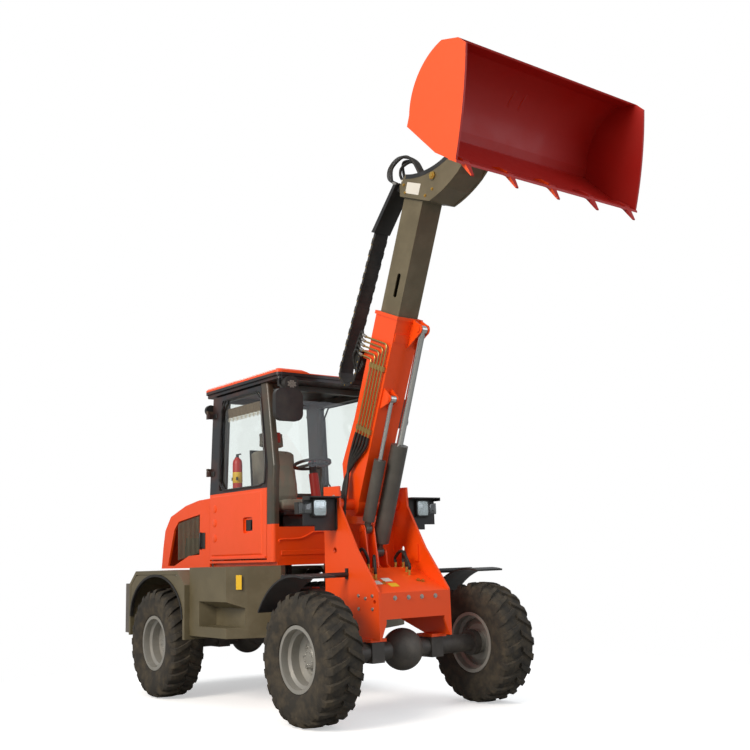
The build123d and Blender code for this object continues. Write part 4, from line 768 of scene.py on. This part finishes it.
HEAD_Y = 136
HEAD_CURVE = (3584, 242, 800)  # centre and radius of the head's hollow edge, in boom coordinates
HEAD_PIN = (2805, -162)  # hexagon pin in the head, in boom coordinates


def head_trim():
    """Blank label, hexagon pin, corner bolts and a dark band along the hollow edge of each head plate."""
    head_pale = bmesh.new()
    head_gold = bmesh.new()
    head_black = bmesh.new()
    cs, ch, edge = HEAD_CURVE
    for sign in (1, -1):
        y = sign * HEAD_Y
        put_box(head_pale, boom_at(2682, 58, y + sign * 1), (180, 2.4, 92), (BACK, SIDE, ALONG), 0.8)
        put_rod(head_gold, boom_at(*HEAD_PIN, y), boom_at(*HEAD_PIN, y + sign * 16), 34 * MM, 6)
        put_rod(head_gold, boom_at(*HEAD_PIN, y + sign * 14), boom_at(*HEAD_PIN, y + sign * 22), 18 * MM, 16)
        band = []
        for k in range(15):
            a = radians(184 + 46 * k / 14)
            band.append([boom_at(cs + r * cos(a), ch + r * sin(a), y + sign * out)
                         for r, out in ((edge, 0), (edge, 2), (edge + 36, 2), (edge + 36, 0))])
        loft(head_black, band, caps=True)
        for s, h in ((2640, 150), (2640, -120), (2700, 190), (2700, -190)):
            put_bolt(head_gold, boom_at(s, h, y), (0, sign, 0), 10, 7)
    new_piece("head_labels", head_pale, "telescope", pale, smooth=False)
    new_piece("head_pins", head_gold, "telescope", gold)
    new_piece("head_edge_bands", head_black, "telescope", black)


head_trim()

# ---------------- lamps
LAMP_Y, MARKER_Y, LAMP_Z = 542, 672, 1603  # headlamp, indicator, and the height of both


def rounded(x, y, z, wide, high, turn=0.0, corner=22, count=6):
    """Ring of points round a rounded rectangle that faces forward, turned back at its outer end."""
    ring = []
    for cy, cz, start in ((1, 1, 0), (-1, 1, 1), (-1, -1, 2), (1, -1, 3)):
        for k in range(count):
            a = pi / 2 * (start + k / (count - 1))
            dy = cy * (wide / 2 - corner) + corner * cos(a)
            dz = cz * (high / 2 - corner) + corner * sin(a)
            ring.append(at(x - abs(turn) * (dy * (1 if turn > 0 else -1) + wide / 2) / wide, y + dy, z + dz))
    return ring


def headlamps():
    """Bezel, bowl and lens of each headlamp, with the indicator beside it."""
    bezels = bmesh.new()
    bowls = bmesh.new()
    lenses = bmesh.new()
    markers = bmesh.new()
    for sign in (1, -1):
        y, z = sign * LAMP_Y, LAMP_Z
        loft(bezels, [rounded(889.4, y, z, 150, 146), rounded(902, y, z, 150, 146), rounded(904, y, z, 140, 136),
                      rounded(904, y, z, 128, 124), rounded(890, y, z, 124, 120)])
        loft(bowls, [rounded(896, y, z, 126, 122), rounded(891, y, z, 100, 96),
                     rounded(890, y, z, 50, 46, corner=20)], caps=True)
        put_rod(bowls, at(890, y, z), at(899, y, z), 12 * MM, 14)
        loft(lenses, [rounded(900, y, z, 127, 123), rounded(905, y, z, 112, 108),
                      rounded(908, y, z, 60, 56, corner=20)], caps=True)
        y = sign * MARKER_Y
        loft(markers, [rounded(886, y, z, 104, 88, sign * 28, 12), rounded(894, y, z, 98, 82, sign * 27, 12),
                       rounded(897, y, z, 70, 60, sign * 20, 12)], caps=True)
    new_piece("headlamp_bezels", bezels, "front_unit", black)
    new_piece("headlamp_bowls", bowls, "front_unit", mirror_face)
    new_piece("headlamp_lenses", lenses, "front_unit", lamp_glass)
    new_piece("indicator_lenses", markers, "front_unit", lamp_glass)


headlamps()

WORK_LAMPS = ((441, 505, 2694, 50, 1), (-906, 590, 2628, 50, -1))  # x, y, z, radius, facing forward or back


def work_lamps():
    """Rims and honeycomb cells of the lamps under the roof."""
    work = bmesh.new()
    work_faces = bmesh.new()
    for sign in (1, -1):
        for x, reach, z, r, way in WORK_LAMPS:
            y = sign * reach
            put_rod(work, at(x, y, z), at(x + way * 3, y, z), r * MM, 28, 0.2)
            pitch = r / 3.4
            for row in range(-3, 4):
                for col in range(-3, 4):
                    dy = (col + (row % 2) / 2) * pitch
                    dz = row * pitch * 0.87
                    if hypot(dy, dz) < r - pitch * 0.75:
                        put_rod(work_faces, at(x + way * 2, y + dy, z + dz), at(x + way * 5, y + dy, z + dz),
                                pitch * 0.46 * MM, 6)
    new_piece("work_lamp_rims", work, "rear_frame", black)
    new_piece("work_lamp_cells", work_faces, "rear_frame", silver)


work_lamps()

MIRROR_Y, MIRROR_Z = 582, 2500


def mirror_glasses():
    """The glass in each mirror's shell."""
    mirrors = bmesh.new()
    for sign in (1, -1):
        loft(mirrors, [rounded(469.6, sign * MIRROR_Y, MIRROR_Z, 255, 260, corner=60),
                       rounded(467, sign * MIRROR_Y, MIRROR_Z, 235, 240, corner=55)], caps=True)
    new_piece("mirror_glasses", mirrors, "rear_frame", mirror_face)


mirror_glasses()

# ---------------- doors, hood and cab fittings
CAB_HALF, SILL_Z, LEAN = 620, 1830, 40 / 920  # the side walls lean in above the sill
WINDOW = [(-665, 1840), (160, 1840), (168, 2000), (40, 2690), (-665, 2690)]
DOOR_HINGES = (2010, 2560)
DOOR_CAPS = (1677, 1547, 1407)


def wall_at(x, z, sign, out=0.0):
    """Point on the outside of the cab's side wall, out from it."""
    y = CAB_HALF - (max(z, SILL_Z) - SILL_Z) * LEAN + out
    return at(x, sign * y, z)


def door_fittings(hand, sign):
    """Window seal, latch, hinge covers, round caps and the grab bars inside one door."""
    black_parts = bmesh.new()
    run = []
    for (ax, az), (bx, bz) in zip(WINDOW, WINDOW[1:] + WINDOW[:1]):
        for k in range(1, 9):
            t = k / 9
            run.append(wall_at(ax + (bx - ax) * t, az + (bz - az) * t, sign, 3))
    run.append(run[0])
    put_tube(black_parts, run, 9 * MM, 8)
    put_box(black_parts, wall_at(-122, 1505, sign, -11), (120, 6, 96), SQUARE, 2)
    put_box(black_parts, wall_at(-90, 1505, sign, -2), (26, 14, 78), SQUARE, 4)
    for z in DOOR_HINGES:
        put_box(black_parts, wall_at(-790, z, sign, 4), (70, 8, 44), SQUARE, 2)
    new_piece("door_seal_and_latch_" + hand, black_parts, hand + "_door", black)
    caps = bmesh.new()
    for z in DOOR_CAPS:
        loft(caps, [[wall_at(-734 + r * cos(a), z + r * sin(a), sign, out)
                     for a in angles(28)]
                    for r, out in ((37, 7.5), (35, 12), (28, 14.5), (10, 15.5))], caps=True)
    new_piece("door_caps_" + hand, caps, hand + "_door", orange)
    bars = bmesh.new()
    y = sign * 560
    put_tube(bars, spread([at(-640, y, 1660), at(-640, y, 1900), at(-630, y, 2200), at(-625, y, 2580)]), 9 * MM)
    put_tube(bars, spread([at(-640, y, 1790), at(-400, y - sign * 4, 1795), at(-60, y, 1790)]), 9 * MM)
    new_piece("door_grab_bars_" + hand, bars, hand + "_door", plastic)


for hand, sign in (("right", -1), ("left", 1)):
    door_fittings(hand, sign)

GRILLE_BARS, GRILLE_START, GRILLE_PITCH = 17, -1085, 27  # ribs, from the front backwards
HOOD_HALF = 612


def hood_fittings():
    """Handle on each side of the hood, and the ribs of its side grilles."""
    grip = bmesh.new()
    mesh_bars = bmesh.new()
    for sign in (1, -1):
        y = sign * HOOD_HALF
        put_tube(grip, spread([at(-1030, y, 1467), at(-1026, y + sign * 16, 1458), at(-1020, y + sign * 18, 1395),
                               at(-1026, y + sign * 16, 1330), at(-1030, y, 1320)]), 9 * MM)
        put_box(grip, at(-990, y + sign * 3, 1394), (90, 6, 150), SQUARE, 3)
        for k in range(GRILLE_BARS):
            x = GRILLE_START - k * GRILLE_PITCH
            top = 1640 - max(0, (-1092 - x)) * 0.125 - max(0, -1505 - x) * 0.8
            low = 1268 - max(0, (-1110 - x)) * 0.14
            put_box(mesh_bars, at(x, y - sign * 4, (top + low) / 2), (12, 4, top - low - 16), SQUARE, 1.5)
    new_piece("hood_handles", grip, "hood", black)
    new_piece("grille_bars", mesh_bars, "hood", grille_paint)


hood_fittings()


def front_panel_beads():
    """Pressed beads and the lower fold of the panel below the windscreen."""
    bead = bmesh.new()
    for sign in (1, -1):
        put_tube(bead, spread([at(290, sign * 555, 1345), at(291, sign * 545, 1366), at(292, sign * 363, 1372),
                               at(293, sign * 290, 1392), at(294, sign * 215, 1426)]), 8 * MM)
    put_tube(bead, spread([at(294, -215, 1426), at(294, 0, 1432), at(294, 215, 1426)]), 8 * MM)
    put_box(bead, at(290, 0, 1255), (5, 1080, 40), SQUARE, 2)
    new_piece("front_panel_beads", bead, "rear_frame", orange)


front_panel_beads()

BOTTLE = (-560, -480)  # X and Y of the fire extinguisher
BOTTLE_FOOT = 1760
# outlines of the bottle and its band as (radius, height)
BOTTLE_SIDE = [(20, 0), (43, 8), (45, 30), (45, 330), (40, 362), (22, 382), (14, 390)]
BOTTLE_BAND = [(45, 150), (46, 152), (46, 248), (45, 250)]


def turned(profile):
    """Rings of the extinguisher for a profile of (radius, height)."""
    return [[at(BOTTLE[0] + r * cos(a), BOTTLE[1] + r * sin(a), BOTTLE_FOOT + h)
             for a in angles(24)] for r, h in profile]


def red_fittings():
    """Sleeve of the steering column, cap of the wheel, extinguisher bottle and escape hammer."""
    reds = bmesh.new()
    foot, top = at(130, 0, 1220), at(-20, 0, 2045)
    put_tube(reds, [foot.lerp(top, t) for t in (0.45, 0.55, 0.7, 0.82, 0.9)], 44 * MM, 20)
    put_rod(reds, top + Vector((-0.004, 0, 0.022)), top + Vector((-0.009, 0, 0.04)), 34 * MM, 24, 0.4)
    loft(reds, turned(BOTTLE_SIDE), caps=True)
    put_box(reds, at(150, -470, 2260), (24, 40, 90), SQUARE, 6)
    new_piece("red_fittings", reds, "rear_frame", red)


red_fittings()


def extinguisher_trim():
    """Band round the extinguisher, its valve, lever, hose and bracket."""
    band = bmesh.new()
    loft(band, turned(BOTTLE_BAND))
    new_piece("extinguisher_band", band, "rear_frame", yellow)
    valve = bmesh.new()
    x, y = BOTTLE
    put_rod(valve, at(x, y, 2148), at(x, y, 2178), 14 * MM, 14)
    put_box(valve, at(x + 22, y, 2176), (80, 16, 12), SQUARE, 3)
    put_tube(valve, spread([at(x - 12, y, 2160), at(x - 52, y, 2120), at(x - 54, y, 1950)]), 7 * MM)
    put_box(valve, at(x, y - 30, 1950), (110, 8, 30), SQUARE, 2)
    new_piece("extinguisher_valve", valve, "rear_frame", black)


extinguisher_trim()

# ---------------- window blind with its fringe, behind the right door
BLIND_LOW, BLIND_HIGH, BLIND_WIDE = 2520, 2612, 640
BLIND_STEPS = 60
BLIND_GAP = 52  # inward of the cab's wall


def blind_y(z, k, wave):
    """Distance of the blind from the machine's middle at fold k."""
    return CAB_HALF - (z - SILL_Z) * LEAN - BLIND_GAP - 5 * sin(k * 0.9) * wave


def window_blind():
    """Short gathered blind behind the right door's window, with a looped fringe."""
    sheet = bmesh.new()
    rows = []
    for j in range(7):
        z = BLIND_HIGH + (BLIND_LOW - BLIND_HIGH) * j / 6
        rows.append([at(BLIND_WIDE * (k / BLIND_STEPS - 1), -blind_y(z, k, 0.3 + j / 8), z)
                     for k in range(BLIND_STEPS + 1)])
    loft(sheet, rows, close_ring=False)
    blind = new_piece("window_blind", sheet, "right_door", blind_cloth)
    thick = blind.modifiers.new("thickness", "SOLIDIFY")
    thick.thickness = 2 * MM
    fringe = bmesh.new()
    for k in range(BLIND_STEPS):
        x = BLIND_WIDE * (k / BLIND_STEPS - 1)
        y, low = -blind_y(BLIND_LOW, k, 1), BLIND_LOW
        drop = 26 + 12 * abs(sin(k * 0.52))
        put_tube(fringe, [at(x, y, low + 4), at(x + 3, y - 1, low - drop * 0.6), at(x + 5, y, low - drop)],
                 2.2 * MM, 5)
        if k % 2 == 0:
            put_tube(fringe, [at(x, y, low - 10), at(x + 10, y, low - 17), at(x + 21, y, low - 10)], 1.8 * MM, 5)
    lace_piece = new_piece("blind_fringe", fringe, "right_door", lace)


window_blind()

# ---------------- seat cushions
VOXEL, QUICK_VOXEL = 8 * MM, 12 * MM
FILLING_FRAMES = 20
FILLING_PRESSURE = 4


def pad(name, points, half, crown, cap_mm):
    """Stuffed pad: a side outline given width, crowned, and swelled by its filling by at most cap_mm."""
    shape = bmesh.new()
    rings = []
    cx = sum(x for x, _ in points) / len(points)
    cz = sum(z for _, z in points) / len(points)
    for k in range(13):
        t = -1 + 2 * k / 12
        shrink = 1 - 0.10 * abs(t) ** 6
        rings.append([at(cx + (x - cx) * shrink, half * t, cz + (z - cz) * shrink * (1 + crown * (1 - t * t)))
                      for x, z in points])
    loft(shape, rings, caps=True)
    thing = new_piece(name, shape, "rear_frame", cloth)
    remesh = thing.modifiers.new("remesh", "REMESH")
    remesh.mode = "VOXEL"
    remesh.voxel_size = VOXEL
    bpy.context.view_layer.objects.active = thing
    thing.select_set(True)
    bpy.ops.object.modifier_apply(modifier="remesh")
    rest = [v.co.copy() for v in thing.data.vertices]
    filling = thing.modifiers.new("filling", "CLOTH")
    filling.settings.use_pressure = True
    filling.settings.uniform_pressure_force = FILLING_PRESSURE
    filling.settings.effector_weights.gravity = 0
    filling.point_cache.frame_start = 1
    filling.point_cache.frame_end = FILLING_FRAMES
    for moment in range(1, FILLING_FRAMES + 1):
        bpy.context.scene.frame_set(moment)
    ready = thing.evaluated_get(bpy.context.evaluated_depsgraph_get())
    swollen = [v.co.copy() for v in ready.data.vertices]
    thing.modifiers.remove(filling)
    for v, a, b in zip(thing.data.vertices, rest, swollen):
        move = b - a
        if move.length > cap_mm * MM:
            move *= cap_mm * MM / move.length
        v.co = a + move
    bpy.context.scene.frame_set(1)
    soft = thing.modifiers.new("soften", "SMOOTH")
    soft.iterations = 6
    bpy.ops.object.modifier_apply(modifier="soften")
    thing.data.polygons.foreach_set("use_smooth", [True] * len(thing.data.polygons))
    thing.select_set(False)
    return thing


SEAT_X = -615
# side outlines of the pads as (ahead of SEAT_X, height), and of the piping along their channels
CUSHION = [(6, 1646), (200, 1644), (455, 1646), (472, 1690), (450, 1735), (360, 1728), (180, 1716), (10, 1724)]
SEAT_BACK = [(-18, 1706), (8, 1800), (4, 1900), (-30, 2060), (-62, 2250), (-150, 2245), (-130, 2000), (-112, 1710)]
HEADREST = [(-85, 2280), (-88, 2350), (-100, 2424), (-165, 2420), (-162, 2350), (-160, 2280)]
SEAMS = (((20, 1726), (180, 1728), (360, 1738), (440, 1744)), ((12, 1800), (8, 1900), (-24, 2060), (-54, 2230)))


def seat():
    """Cushion, back and headrest in place of the plain seat, with piping along their channels."""
    made = [pad(name, [(SEAT_X + x, z) for x, z in outline], half, crown, cap_mm)
            for name, outline, half, crown, cap_mm in (("seat_cushion", CUSHION, 235, 0.08, 10),
                                                       ("seat_back_cushion", SEAT_BACK, 230, 0.02, 10),
                                                       ("seat_headrest", HEADREST, 122, 0.04, 6))]
    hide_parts("seat")
    seams = bmesh.new()
    for half in (120, -120):
        for seam in SEAMS:
            put_tube(seams, spread([at(SEAT_X + x, half, z) for x, z in seam]), 3 * MM, 6)
    new_piece("seat_piping", seams, "rear_frame", black)


seat()
